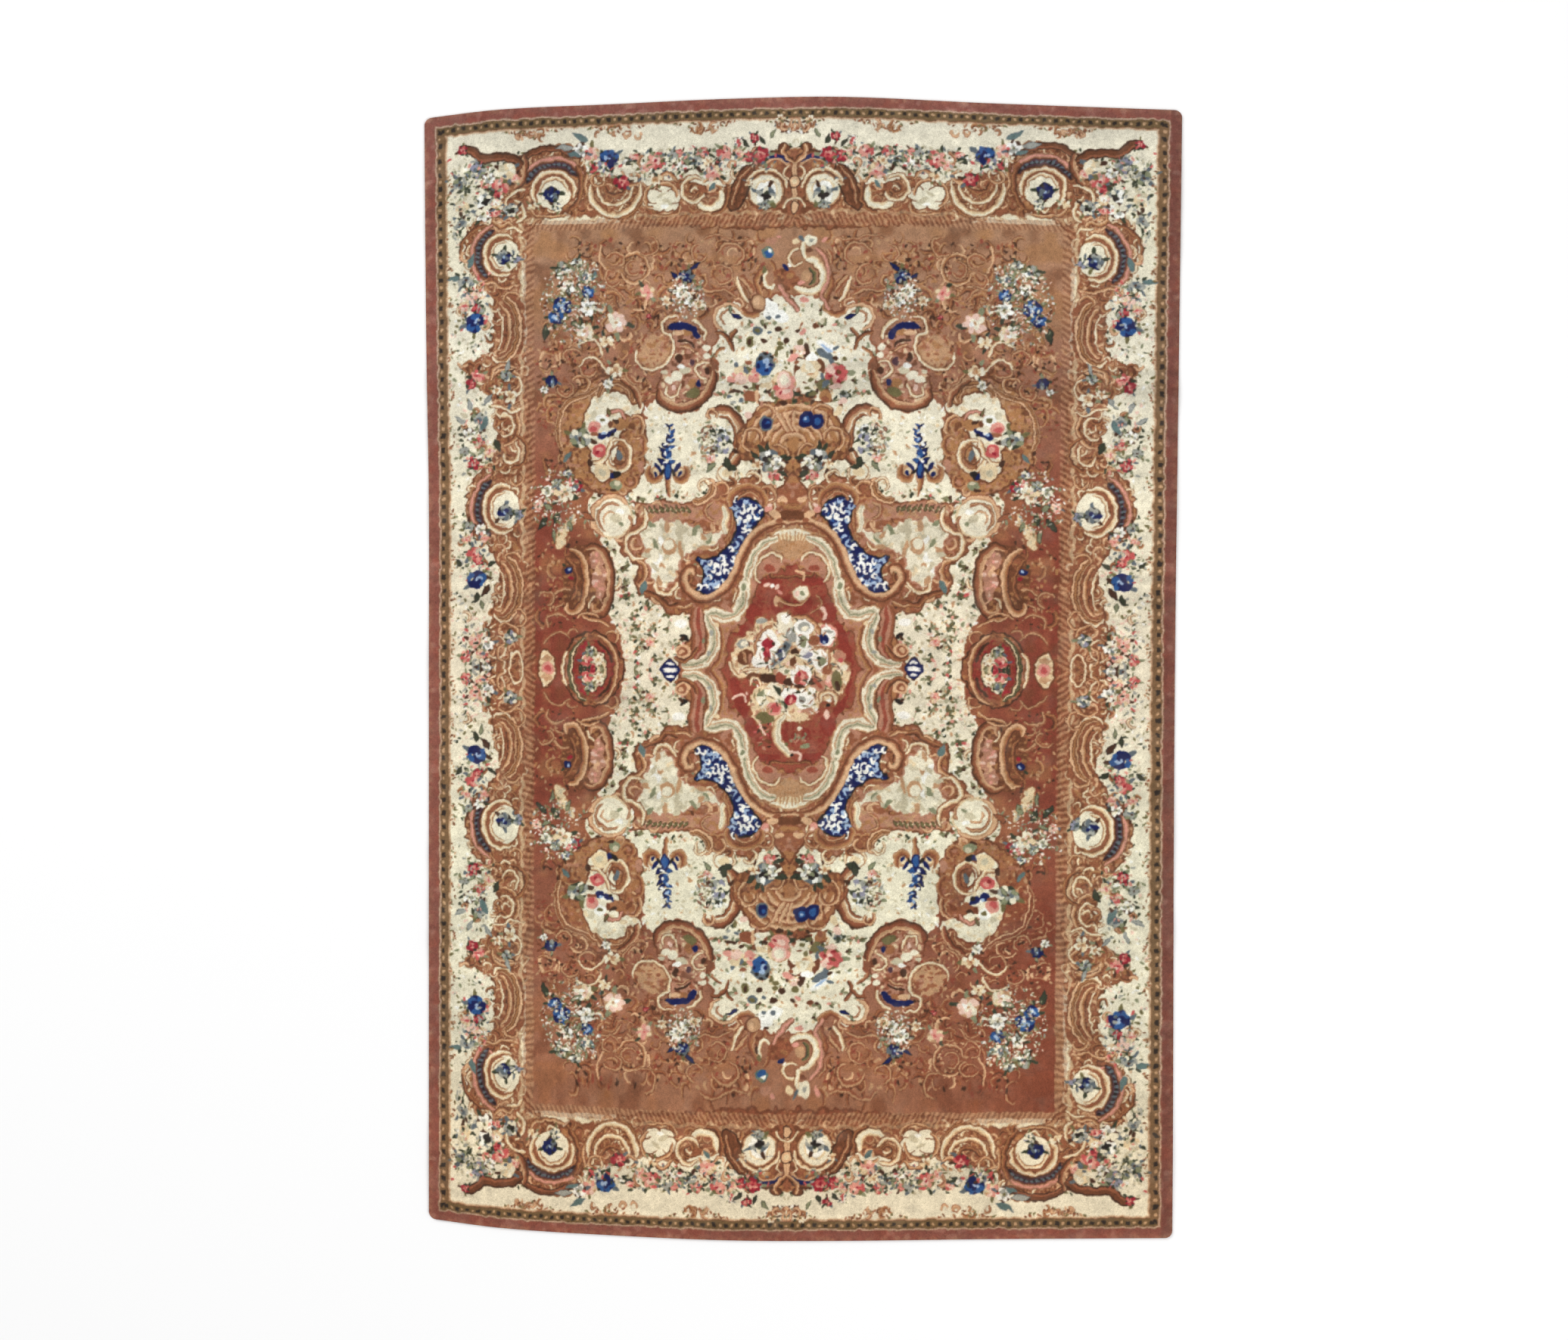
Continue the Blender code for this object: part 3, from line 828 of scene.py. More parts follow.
each(scroll, ((.345, 1.88, .078, .07, -75, 235, .024, "pale curl"),
    (.34, 1.88, .045, .036, -60, 200, .012, "curl"), (.3, 1.95, .04, .03, 60, 200, .016, "pale curl", -.3)))
each(leaf, ((.27, 1.875, .07, .024, 15, ("black", "navy")), (.33, 1.9, .045, .02, 60, ("bottle", "sage"))))
patch(((.46, 1.75), (.5, 1.81), (.58, 1.84), (.66, 1.8), (.645, 1.72), (.67, 1.64), (.71, 1.56),
    (.71, 1.47), (.64, 1.43), (.55, 1.44), (.46, 1.52), (.44, 1.62)), "dusty", "brown", .008, .006, 21,
    ("rust", "cream", "brown"))
patch(((.66, 1.73), (.7, 1.785), (.77, 1.785), (.82, 1.73), (.82, 1.66), (.76, 1.62), (.69, 1.64),
    (.66, 1.68)), "tan", None, .006, .004, 23, ("dusty", "ochre", "rust"))
each(ribbon, (
    (((.505, 1.765), (.53, 1.81), (.58, 1.838), (.665, 1.832)), .036, "navy line"),
    (((.475, 1.76), (.475, 1.81), (.51, 1.855), (.55, 1.87)), .028, "cream"),
    (((.525, 1.725), (.57, 1.755), (.62, 1.76)), .014, "dark"),
    (((.61, 1.885), (.67, 1.885), (.703, 1.85), (.695, 1.805), (.655, 1.785), (.643, 1.74), (.648, 1.69),
        (.67, 1.65), (.71, 1.62), (.76, 1.607), (.81, 1.62), (.84, 1.66), (.842, 1.71)), .024, "cream"),
    (((.53, 1.7), (.57, 1.73), (.61, 1.735)), .016, "peach"),
    (((.42, 1.6), (.43, 1.53), (.465, 1.465), (.52, 1.42), (.59, 1.4), (.66, 1.41), (.71, 1.45),
        (.715, 1.5)), .05, "curled back"),
    (((.445, 1.64), (.49, 1.645), (.52, 1.61), (.5, 1.565), (.46, 1.55)), .024, "cream"),
    (((.6, 1.53), (.63, 1.465), (.68, 1.47), (.675, 1.52)), .02, "cream"),
))
each(dab, ((.57, 1.8, .03, .016, 10, "ochre"), (.61, 1.8, .028, .014, 0, "peach"),
    (.465, 1.72, .022, .018, 0, "ivory"), (.46, 1.68, .018, .016, 0, "ivory"),
    (.61, 1.665, .018, .028, 0, "umber"), (.54, 1.645, .014, .018, 0, "plum"),
    (.58, 1.6, .03, .022, 0, "stone"),
    (.625, 1.57, .03, .026, 20, "ivory"), (.665, 1.55, .024, .02, 0, "ivory"),
    (.6, 1.62, .022, .012, 0, "white"), (.54, 1.53, .022, .026, 0, "ochre"),
    (.505, 1.53, .013, .017, 0, "navy"), (.535, 1.48, .04, .026, -20, "moss"),
    (.46, 1.595, .014, .018, 0, "umber"), (.64, 1.51, .012, .016, 0, "blush"),
    (.69, 1.59, .018, .012, 0, "stone")))
each(scroll, (
    (.85, 2.15, .075, .08, 20, 330, .026, "peach"), (.86, 2.15, .04, .04, 200, 280, .02, "curl"),
    (.33, 2.21, .08, .07, 0, 260, .024, "curl", -.3), (.38, 2.1, .06, .06, 60, 280, .022, "curl", -.4),
    (.78, 2.27, .06, .05, 90, 220, .02, "curl"), (.95, 2.19, .055, .05, 10, 250, .022, "curl", -.4),
    (.97, 2.1, .05, .05, 200, 260, .02, "curl", -.3), (.5, 2.22, .05, .05, 90, -260, .02, "curl", -.3),
))
# the flower cartouche: open on its ivory side, closed by brown scrolls towards the field
patch(((.85, 1.47), (.8, 1.42), (.82, 1.36), (.8, 1.3), (.785, 1.24), (.8, 1.18), (.79, 1.1), (.82, 1.03),
    (.86, .97), (.93, .93), (1.05, .95), (1.13, 1.0), (1.24, 1.1), (1.27, 1.22), (1.27, 1.36), (1.2, 1.46),
    (1.1, 1.54), (.97, 1.57)),
    "ochre", "brown", .01, .006, 32, ("tan", "rust", "dusty", "brown"))
patch(((.8, 1.43), (.86, 1.42), (.9, 1.48), (.98, 1.505), (1.06, 1.47), (1.1, 1.41), (1.135, 1.33),
    (1.12, 1.24), (1.09, 1.16), (1.09, 1.07), (1.03, 1.01), (.98, 1.05), (.93, 1.24), (.9, 1.3),
    (.93, 1.37), (.88, 1.36), (.82, 1.37)), "ivory", "brown", .01, .006, 31, ("cream", "stone"))
each(scroll, (
    (.955, 1.46, .095, .085, 0, 200, .052, "triple"), (1.14, 1.53, .05, .045, 20, 250, .026, "peach", -.3),
    (1.23, 1.5, .05, .045, 120, 260, .024, "curl", -.3), (1.1, 1.62, .05, .05, 200, 240, .024, "curl", -.3),
    (.85, 1.3, .045, .06, 60, 220, .026, "peach"), (.83, 1.2, .04, .055, 80, 200, .024, "ochre"),
    (.94, 1.15, .068, .085, 60, 330, .03, "cream"), (.94, 1.15, .042, .055, 0, 359, .014, "rust"),
    (1.19, 1.68, .045, .04, 300, 240, .022, "curl"),
))
each(ribbon, (
    (((1.04, 1.52), (1.1, 1.48), (1.18, 1.45), (1.235, 1.41), (1.265, 1.33), (1.27, 1.25), (1.25, 1.18)),
        .036, "triple"), (((.82, 1.4), (.83, 1.46), (.87, 1.52), (.93, 1.56)), .032, "curled back"),
    (((.975, 1.23), (1.0, 1.16), (1.04, 1.115), (1.09, 1.11)), .03, "cream"),
    (((.9, 1.34), (.925, 1.385), (.97, 1.385), (1.0, 1.36)), .022, "old rose"),
    (((1.0, 1.6), (1.05, 1.66), (1.11, 1.67), (1.15, 1.62)), .022, "cream"),
    (((1.02, 1.68), (1.04, 1.74), (1.09, 1.77), (1.16, 1.74)), .022, "cream"),
    (((.83, 1.52), (.88, 1.56), (.9, 1.61), (.88, 1.66)), .022, "curl"),
))
each(dab, ((.94, 1.315, .045, .035, 0, "ochre"), (.955, 1.335, .02, .014, 30, "umber"),
    (.955, 1.35, .018, .012, 0, "ivory"), (.985, 1.32, .014, .018, 0, "brown"),
    (1.03, 1.34, .034, .032, 0, "white"), (1.028, 1.338, .014, .012, 0, "moss"),
    (.985, 1.275, .036, .022, -25, "navy"), (1.03, 1.252, .024, .02, 0, "navy"),
    (1.01, 1.272, .016, .01, -30, "white"), (1.02, 1.265, .012, .008, 0, "sky"),
    (.99, 1.29, .03, .01, -10, "ivory"), (.97, 1.26, .01, .008, 0, "black"),
    (1.07, 1.3, .036, .034, 0, "pink"), (1.075, 1.29, .02, .016, 20, "rose"),
    (1.07, 1.262, .024, .01, 0, "rust"), (1.045, 1.175, .038, .034, 0, "rose"),
    (1.04, 1.18, .018, .014, 20, "pink"), (1.055, 1.165, .012, .01, 0, "crimson"),
    (1.03, 1.065, .045, .045, 0, "cream"), (1.03, 1.06, .02, .018, 0, "stone"),
    (1.095, 1.11, .016, .022, 0, "umber"), (.935, 1.15, .014, .032, -10, "slate"),
    (.955, 1.045, .03, .018, -30, "black"), (.975, 1.04, .012, .016, 0, "navy"),
    (.95, .99, .034, .026, 0, "sage"), (.945, 1.0, .018, .014, 0, "stone"),
    (.97, .965, .02, .008, 0, "umber"), (.815, 1.09, .018, .036, 0, "dusty"),
    (.8, 1.03, .02, .016, 0, "ivory")))
# the small C scroll, its cup, the hanging spray and the shell on the middle line
scroll(.38, 1.235, .11, .16, 55, 225, .05, "curled back")
scroll(.38, 1.235, .072, .12, 80, 180, .02, "rust")
scroll(.425, 1.365, .035, .035, -60, 300, .022, "peach", -.5)
disc(.35, 1.055, .058, .05, ((1, "tan"), (.86, "ivory"), (.5, "cream")))
scroll(.35, 1.05, .054, .048, 150, 220, .02, "cream")
leaf(.3, 1.075, .09, .034, 12, ("black", "bottle"))
for k in range(16):  # beige leaves beside the C scroll
    beige = (("rust", "tan"), ("moss", "stone"), ("umber", "dusty"))[k % 3]
    leaf(.455 + .025 * math.sin(2.4 * k), 1.14 + .011 * k, .036, .014, 47 * k, beige)
patch(((-.05, 1.45), (.1, 1.44), (.19, 1.4), (.24, 1.32), (.3, 1.24), (.28, 1.14), (.2, 1.12), (.12, 1.18),
    (.05, 1.1), (.02, 1.0), (-.05, 1.0)), "ochre", "brown", .01, .006, 51, ("rust", "tan", "brown"))
for r in (.215, .175, .135, .1, .06):
    scroll(0, 1.2, r * 1.12, r, 8, 118, .026, "pale curl")
each(scroll, ((.21, 1.23, .06, .07, -90, 280, .026, "peach", -.3),
    (.15, 1.37, .05, .04, 20, 220, .022, "peach"), (.08, 1.14, .05, .06, 60, 200, .022, "peach")))

# The medallion: red in its middle behind a pale folded ribbon, framed by peach scrolls with blue panels
# of white tracery and panels of pale flowers.
FRAME = ((-.05, 1.0), (.05, .99), (.1, .945), (.14, .985), (.2, 1.03), (.28, 1.02), (.34, .995),
    (.42, 1.01), (.455, .94), (.52, .905), (.6, .895), (.7, .9), (.79, .89),
    (.86, .9), (.84, .86), (.85, .79), (.92, .73), (.93, .66), (.88, .59), (.83, .56), (.84, .46),
    (.8, .39), (.72, .37), (.66, .3), (.57, .31), (.525, .26), (.53, .2), (.56, .15), (.62, .09), (.6, .03),
    (.62, -.05), (-.05, -.05))
patch(FRAME, "rust", "brown", .01, .006, 62, ("ochre", "dusty"))


def in_frame(yarn, x, y):
    return yarn.min() < 120 and yarn[0] - yarn[2] > 40


strew((0, .95, .36, 1.0), .062, .85, 63, in_frame,
    curls(("pale curl", "cream", "ochre", "rust"), .024, .046))
patch(((-.05, .62), (.08, .66), (.16, .62), (.2, .56), (.23, .5), (.24, .42), (.26, .33), (.3, .27),
    (.37, .25), (.41, .21), (.4, .1), (.44, 0), (.44, -.05), (-.05, -.05)), "dusty", None, .006, .004, 60,
    ("rust", "ochre"))
patch(((-.05, .51), (.1, .515), (.17, .47), (.2, .4), (.22, .31), (.28, .22), (.32, .2), (.345, .13),
    (.35, .04), (.38, -.05), (-.05, -.05)), "brick", "brown", .006, .008, 61, ("red", "rust"))
each(dab, ((.27, .16, .035, .09, 20, "red"), (.3, .03, .03, .1, 0, "red"), (.2, .3, .04, .06, -10, "red"),
    (.12, .47, .07, .02, 0, "red"), (.06, .35, .05, .05, 0, "red")))
patch(((.36, .89), (.5, .87), (.6, .885), (.72, .885), (.81, .875), (.82, .83), (.76, .8), (.62, .8),
    (.5, .8), (.38, .78), (.34, .84)), "dusty", None, .006, .006, 64, ("tan", "ochre"))
PALE_PANEL = ((.375, .75), (.42, .735), (.47, .73), (.52, .76), (.57, .795), (.64, .8), (.71, .8),
    (.78, .79), (.82, .74), (.8, .68), (.79, .6), (.76, .52), (.73, .455), (.68, .435),
    (.635, .47), (.61, .52), (.6, .59), (.55, .63), (.45, .65), (.4, .69))
patch(PALE_PANEL, "ivory", "dusty", .01, .008, 65, ("stone", "cream"))
draw = np.random.default_rng(66)
PALE_BLOSSOMS = ("ivory", "stone", "stone", "sage", "ivory", "stone", "tan", "white")
for k in range(80):  # pale blossoms and leaves, hardly darker than their ground
    x, y = .39 + .43 * draw.random(), .45 + .34 * draw.random()
    if paper[int(y / CELL), int(x / CELL)].min() > 120:
        dab(x, y, .024 + .014 * draw.random(), .014, 360 * draw.random(), PALE_BLOSSOMS[k % 8])
each(dab, ((.66, .66, .04, .045, 20, "tan"), (.665, .67, .028, .03, 20, "ivory"),
    (.53, .7, .03, .02, 20, "ivory"), (.74, .62, .024, .035, 0, "ivory"), (.7, .52, .02, .034, 0, "ivory"),
    (.6, .64, .012, .05, -10, "tan"), (.77, .73, .02, .02, 0, "ivory")))
patch(((.149, .842), (.2, .905), (.267, .926), (.315, .905), (.329, .876), (.304, .783), (.312, .716),
    (.371, .64), (.438, .6), (.514, .598), (.48, .545), (.476, .489), (.514, .43), (.45, .405), (.39, .435),
    (.32, .514), (.27, .615), (.228, .724), (.186, .792)),
    "navy", "black", .008, .002, 67)


def is_blue(yarn, x, y):
    return yarn[2] - yarn[0] > 40


strew((.15, .52, .4, .93), .03, .8, 69, is_blue, dabs(("sky", "blue", "slate"), .006, .01, 2, .5))
strew((.15, .53, .4, .93), .033, 1.0, 68, is_blue, curls(("tracery", "sky tracery", "tracery"), .012, .018))
# the spray that hangs on the pale ground: a spire of blue leaves over two ochre discs and a stalk
ribbon(((.672, 1.05), (.67, .985), (.662, .925)), .044, "ochre", -.4)
SPRAY = .672  # its place across the carpet
for s in (-1, 1):
    disc(SPRAY + s * .066, 1.056, .03, .036, ((1, "tan"), (.6, "cream")))
    scroll(SPRAY + s * .072, 1.056, .036, .044, 90 - s * 25, -s * 250, .036, "ochre", 0, 1.8)
    dab(SPRAY + s * .068, 1.048, .01, .016, -30 * s, "navy")
    dab(SPRAY + s * .052, 1.082, .01, .03, -s * 38, "navy")
    dab(SPRAY + s * .03, 1.062, .008, .022, s * 30, "black")
for y in np.arange(1.1, 1.32, .028):
    size = .062 - .15 * (y - 1.1)
    x = SPRAY - .004 + .014 * math.sin(26 * (y - 1.07))
    leaf(x, y, size, size / 2, 48 + 20 * math.sin(90 * y), ("black", "navy"))
    leaf(x, y, size * .9, size / 2.2, 128 + 24 * math.sin(70 * y), ("navy", "blue"))
disc(SPRAY, 1.066, .048, .022, ((1, "navy"), (.7, "blue")), 90)
for k in range(9):
    dab(SPRAY + .013 * (-1) ** k, 1.11 + .024 * k, .01, .007, 40 * k, ("white", "sky")[k % 2])
ribbon(((-.02, .79), (.1, .785), (.15, .765), (.19, .735), (.225, .695), (.25, .65), (.27, .61),
    (.285, .57), (.3, .53), (.325, .48), (.355, .44), (.39, .41), (.43, .388), (.475, .38),
    (.52, .395), (.56, .425), (.583, .47), (.583, .51), (.565, .54), (.54, .545), (.522, .53), (.52, .505)),
    .054, "frame")
each(scroll, ((.24, .905, .095, .075, -25, 230, .04, "ochre"),
    (.24, .895, .055, .05, 10, 160, .018, "curl"), (.13, .93, .05, .05, 40, 230, .024, "curl", -.3),
    (.38, .965, .045, .04, 20, 230, .024, "peach", -.3), (.515, .975, .085, .075, 160, 125, .046, "triple"),
    (.475, .985, .03, .035, -60, 230, .018, "cream")))
for k in range(9):
    leaf(.545 + .029 * k, .845 - .002 * abs(k - 4), .05, .021, 50, ("umber", "moss"))
    dab(.578 + .029 * k, .856 - .002 * abs(k - 4), .016, .005, 140, "cream")
each(dab, ((.03, .83, .05, .022, 0, "brown"), (.09, .83, .03, .022, 20, "peach"),
    (.07, .8, .02, .014, 0, "rust"), (.13, .86, .022, .018, 0, "pink"), (.02, .87, .03, .012, 0, "ochre"),
    (.05, .91, .028, .016, 10, "peach"), (.12, .88, .014, .01, 0, "blush")))
each(ribbon, (
    (((.375, .875), (.355, .83), (.365, .77), (.35, .73)), .036, "pale"),
    (((.33, .86), (.325, .8), (.335, .74), (.37, .69)), .014, "ochre"),
    (((.42, .9), (.47, .87), (.46, .82), (.42, .8)), .022, "curl"),
    (((.8, .87), (.79, .79), (.84, .74), (.89, .72), (.9, .66), (.86, .6), (.8, .6)), .034, "cream"),
    (((.84, .585), (.8, .56), (.79, .51), (.82, .46)), .03, "peach"),
    (((.61, .47), (.66, .41), (.72, .42), (.735, .47)), .028, "cream"),
    (((.6, .36), (.66, .34), (.72, .39), (.8, .42)), .03, "rust"),
))
# the rayed fan, its curled ends and the folded ribbon
patch(((-.03, .765), (.05, .762), (.1, .745), (.135, .715), (.12, .66), (.09, .63), (.04, .6), (-.03, .59)),
    "tan", None, .006, .003, 73, ("ochre",))
each(dab, ((0, .725, .075, .034, 0, "cream"), (.07, .715, .055, .026, -25, "cream"),
    (0, .74, .05, .018, 0, "ivory"), (.08, .725, .03, .012, -25, "ivory")))
for k in range(6):
    ribbon(((.015 + .02 * k, .745 - .006 * k), (.012 + .012 * k, .62 + .006 * k)), .008, "ray")
each(ribbon, (
    (((.05, .58), (.065, .612), (.11, .625), (.16, .6), (.19, .56), (.2, .52), (.19, .485), (.165, .465)),
        .026, "cream"),
    (((.07, .7), (.12, .695), (.165, .665), (.2, .62), (.222, .57), (.238, .52), (.24, .48)), .058,
        "folded"),
    (((.245, .5), (.252, .43), (.265, .36), (.305, .305), (.36, .29), (.4, .305), (.435, .305),
        (.45, .275)), .08, "folded"),
    (((.455, .3), (.44, .25), (.417, .205), (.412, .15), (.43, .09), (.475, .045), (.54, .03), (.59, .03)),
        .074, "folded"),
    (((.12, .55), (.1, .5), (.02, .505), (-.02, .5)), .016, "rust"),
    (((.5, .34), (.51, .27), (.5, .2), (.495, .13), (.53, .06)), .085, "rose wave"),
    (((.62, .34), (.57, .335), (.53, .36)), .024, "peach"),
    (((.38, .24), (.365, .17), (.37, .09), (.4, .03), (.44, -.02)), .026, "ochre"),
    (((.5, .13), (.53, .075), (.58, .05), (.63, .07)), .026, "rust"),
))
each(dab, ((.255, .45, .024, .03, 0, "ivory"), (.255, .445, .012, .018, 0, "sage"),
    (.345, .335, .035, .012, 30, "dusty"), (.12, .555, .055, .035, 0, "dusty"),
    (.12, .545, .03, .018, 0, "brick"), (.61, .215, .05, .05, 0, "ivory"),
    (.6, .25, .034, .022, 0, "white"),
    (.575, .175, .026, .012, 30, "black"), (.59, .165, .016, .01, -40, "umber"),
    (.58, .1, .04, .036, 0, "peach"), (.585, .1, .026, .022, 0, "rust"),
    (.59, .102, .014, .012, 0, "peach"), (.47, .16, .01, .016, 0, "sage"), (.43, .2, .01, .014, 0, "grey"),
    (.44, .09, .012, .012, 0, "grey"), (.4, .245, .014, .012, 0, "cream"),
    (.39, .12, .012, .016, 0, "ivory"), (.46, .035, .012, .012, 0, "ivory"),
    (.29, .28, .018, .012, -40, "ivory")))
# the striped lozenge at the middle of the side
for share, yarn in ((1.0, "umber"), (.9, "navy")):
    top, shoulder = .065 * share, .03 * share + .01
    lozenge = ((.6, 0), (.625, shoulder), (.65, top), (.68, shoulder), (.705, 0), (.68, -.04),
        (.65, -.06), (.625, -.04))
    patch(lozenge, yarn, None, .004, .001, 74)
for y, across in ((.034, .02), (.006, .036), (-.006, .036)):
    dab(.652, y, across, .008, 0, "white")
# the roundel, the pair of C scrolls and the oval cartouche beside the medallion
disc(.975, .82, .115, .115, ((1, "cream"), (.9, "ivory")))
each(scroll, ((.975, .82, .108, .112, -70, 215, .03, "pale curl"),
    (.98, .815, .072, .078, -60, 190, .018, "curl"), (.985, .81, .035, .04, -40, 200, .012, "pale curl"),
    (.9, .79, .03, .05, 120, 140, .014, "curl")))
each(dab, ((.95, .81, .03, .022, 20, "stone"), (.93, .85, .022, .014, 0, "white"),
    (.92, .78, .016, .01, 30, "sage")))
patch(((1.17, .86), (1.22, .81), (1.27, .75), (1.29, .69), (1.27, .645), (1.23, .67), (1.21, .73),
    (1.17, .78)), "cream", "rust", .008, .006, 75, ("tan", "stone", "ochre"))
patch(((1.02, .66), (1.18, .66), (1.24, .56), (1.24, .4), (1.2, .3), (1.05, .28), (.98, .36), (.97, .55)),
    "brown", None, .006, .004, 76, ("rust", "ochre"))
patch(((1.05, .635), (1.09, .61), (1.085, .54), (1.075, .44), (1.05, .37), (1.02, .37), (1.01, .46),
    (1.015, .56)), "dusty", None, .006, .01, 72, ("pink", "peach", "blush"))
each(ribbon, (
    (((1.12, .65), (1.07, .665), (1.02, .63), (.985, .56), (.975, .47), (.985, .38), (1.01, .32),
        (1.05, .295), (1.09, .31), (1.09, .36)), .046, "curled back"),
    (((1.21, .645), (1.165, .63), (1.13, .575), (1.115, .5), (1.12, .41), (1.145, .34), (1.18, .305),
        (1.22, .32), (1.215, .36)), .044, "peach"),
    (((1.23, .6), (1.19, .56), (1.17, .49), (1.175, .42), (1.2, .37)), .022, "rust"),
    (((1.2, .43), (1.25, .435), (1.3, .385), (1.31, .31)), .024, "curl"),
    (((1.06, .39), (1.09, .37), (1.1, .33)), .018, "cream"),
    (((1.24, .36), (1.28, .33), (1.27, .28)), .018, "curl"),
))
each(dab, ((1.21, .53, .022, .018, 0, "navy"), (1.205, .535, .008, .008, 0, "sky"),
    (1.2, .49, .016, .01, 30, "crimson"), (1.235, .56, .012, .008, 40, "bottle")))
patch(((.92, -.05), (.93, .09), (.99, .17), (1.08, .205), (1.17, .17), (1.215, .09), (1.22, -.05)), "rust",
    "umber", .01, .006, 70, ("ochre", "brown", "dusty"))
patch(((.955, -.05), (.965, .07), (1.01, .13), (1.08, .155), (1.14, .13), (1.17, .07), (1.175, -.05)),
    "red", None, .006, .006, 71, ("brick", "rust", "crimson"))
patch(((1.01, -.05), (1.0, .05), (1.03, .1), (1.08, .13), (1.12, .09), (1.13, -.05)), "cream", "umber",
    .006, .008, 77, ("sage", "blush", "ivory"))
each(scroll, (
    (1.075, 0, .125, .178, -72, 144, .03, "green"), (1.075, 0, .13, .185, 100, 160, .03, "peach"),
    (1.075, 0, .105, .152, 105, 60, .016, "dark"), (1.075, 0, .105, .152, -165, 60, .016, "dark"),
    (.97, .17, .04, .035, 30, 220, .018, "peach", -.3), (1.18, .19, .035, .03, -60, 220, .016, "curl", -.3),
    (1.1, .265, .06, .035, 10, 180, .02, "peach"), (1.33, .37, .05, .05, 20, 250, .022, "curl", -.4),
))
patch(((1.285, -.05), (1.275, .02), (1.295, .065), (1.325, .105), (1.36, .08), (1.38, .03), (1.375, -.05)),
    "cream", "brown", .01, .006, 78, ("ivory", "tan"))
each(ribbon, (
    (((1.215, .095), (1.238, .05), (1.238, -.02)), .024, "cream"),
    (((1.22, .28), (1.28, .3), (1.33, .27), (1.32, .22)), .022, "curl"),
    (((.98, .23), (1.03, .26), (1.09, .27), (1.14, .29)), .026, "peach"),
    (((1.2, .16), (1.25, .2), (1.31, .18), (1.35, .13)), .018, "curl"),
))
each(dab, ((1.325, 0, .034, .036, 0, "pink"), (1.325, 0, .018, .02, 0, "rose"),
    (1.33, .06, .014, .012, 0, "tan")))


# The flowers of one quarter: roses, open blossoms and leaves along the border, in the cartouches and in
# the sprays of the field, then the leafy garlands that hang on the guard stripes.
ROSES = ((.18, 2.745, .05, "red"), (.245, 2.74, .035, "red"), (.215, 2.84, .028, "red"),
    (.375, 2.765, .045, "pink"), (.43, 2.66, .05, "soft"), (.485, 2.77, .035, "pink"),
    (.74, 2.735, .052, "pink"), (.8, 2.7, .03, "soft"), (.92, 2.635, .045, "red"),
    (1.08, 2.79, .045, "soft"), (1.06, 2.71, .035, "red"), (1.58, 2.64, .055, "pink"),
    (1.61, 2.595, .035, "red"), (1.6, 2.49, .03, "pink"), (1.78, 2.85, .03, "red"),
    (1.74, 2.0, .04, "soft"), (1.71, 1.945, .03, "red"), (1.68, 2.02, .03, "pale"),
    (1.78, 1.96, .03, "soft"), (1.71, 1.58, .042, "pink"), (1.745, 1.54, .035, "red"),
    (1.65, 1.17, .036, "soft"), (1.735, 1.11, .036, "red"), (1.71, 1.22, .03, "pink"),
    (1.74, .62, .045, "pink"), (1.71, .58, .028, "red"), (1.68, .7, .03, "soft"), (1.78, .7, .028, "soft"),
    (1.73, .15, .04, "soft"), (1.78, .06, .036, "pink"), (1.7, .07, .03, "soft"), (1.17, .985, .036, "red"),
    (1.21, 1.0, .03, "pink"), (1.38, .88, .03, "soft"), (.77, 1.89, .018, "red"), (.14, 1.09, .04, "soft"),
    (.1, 1.04, .035, "pink"), (1.1, .035, .042, "pink"), (1.08, -.01, .035, "red"), (.76, .15, .03, "soft"),
    (.3, 2.76, .03, "soft"), (.61, 2.77, .025, "pink"), (.86, 2.76, .03, "soft"), (1.5, 2.68, .03, "soft"),
    (1.66, 2.66, .03, "pink"))
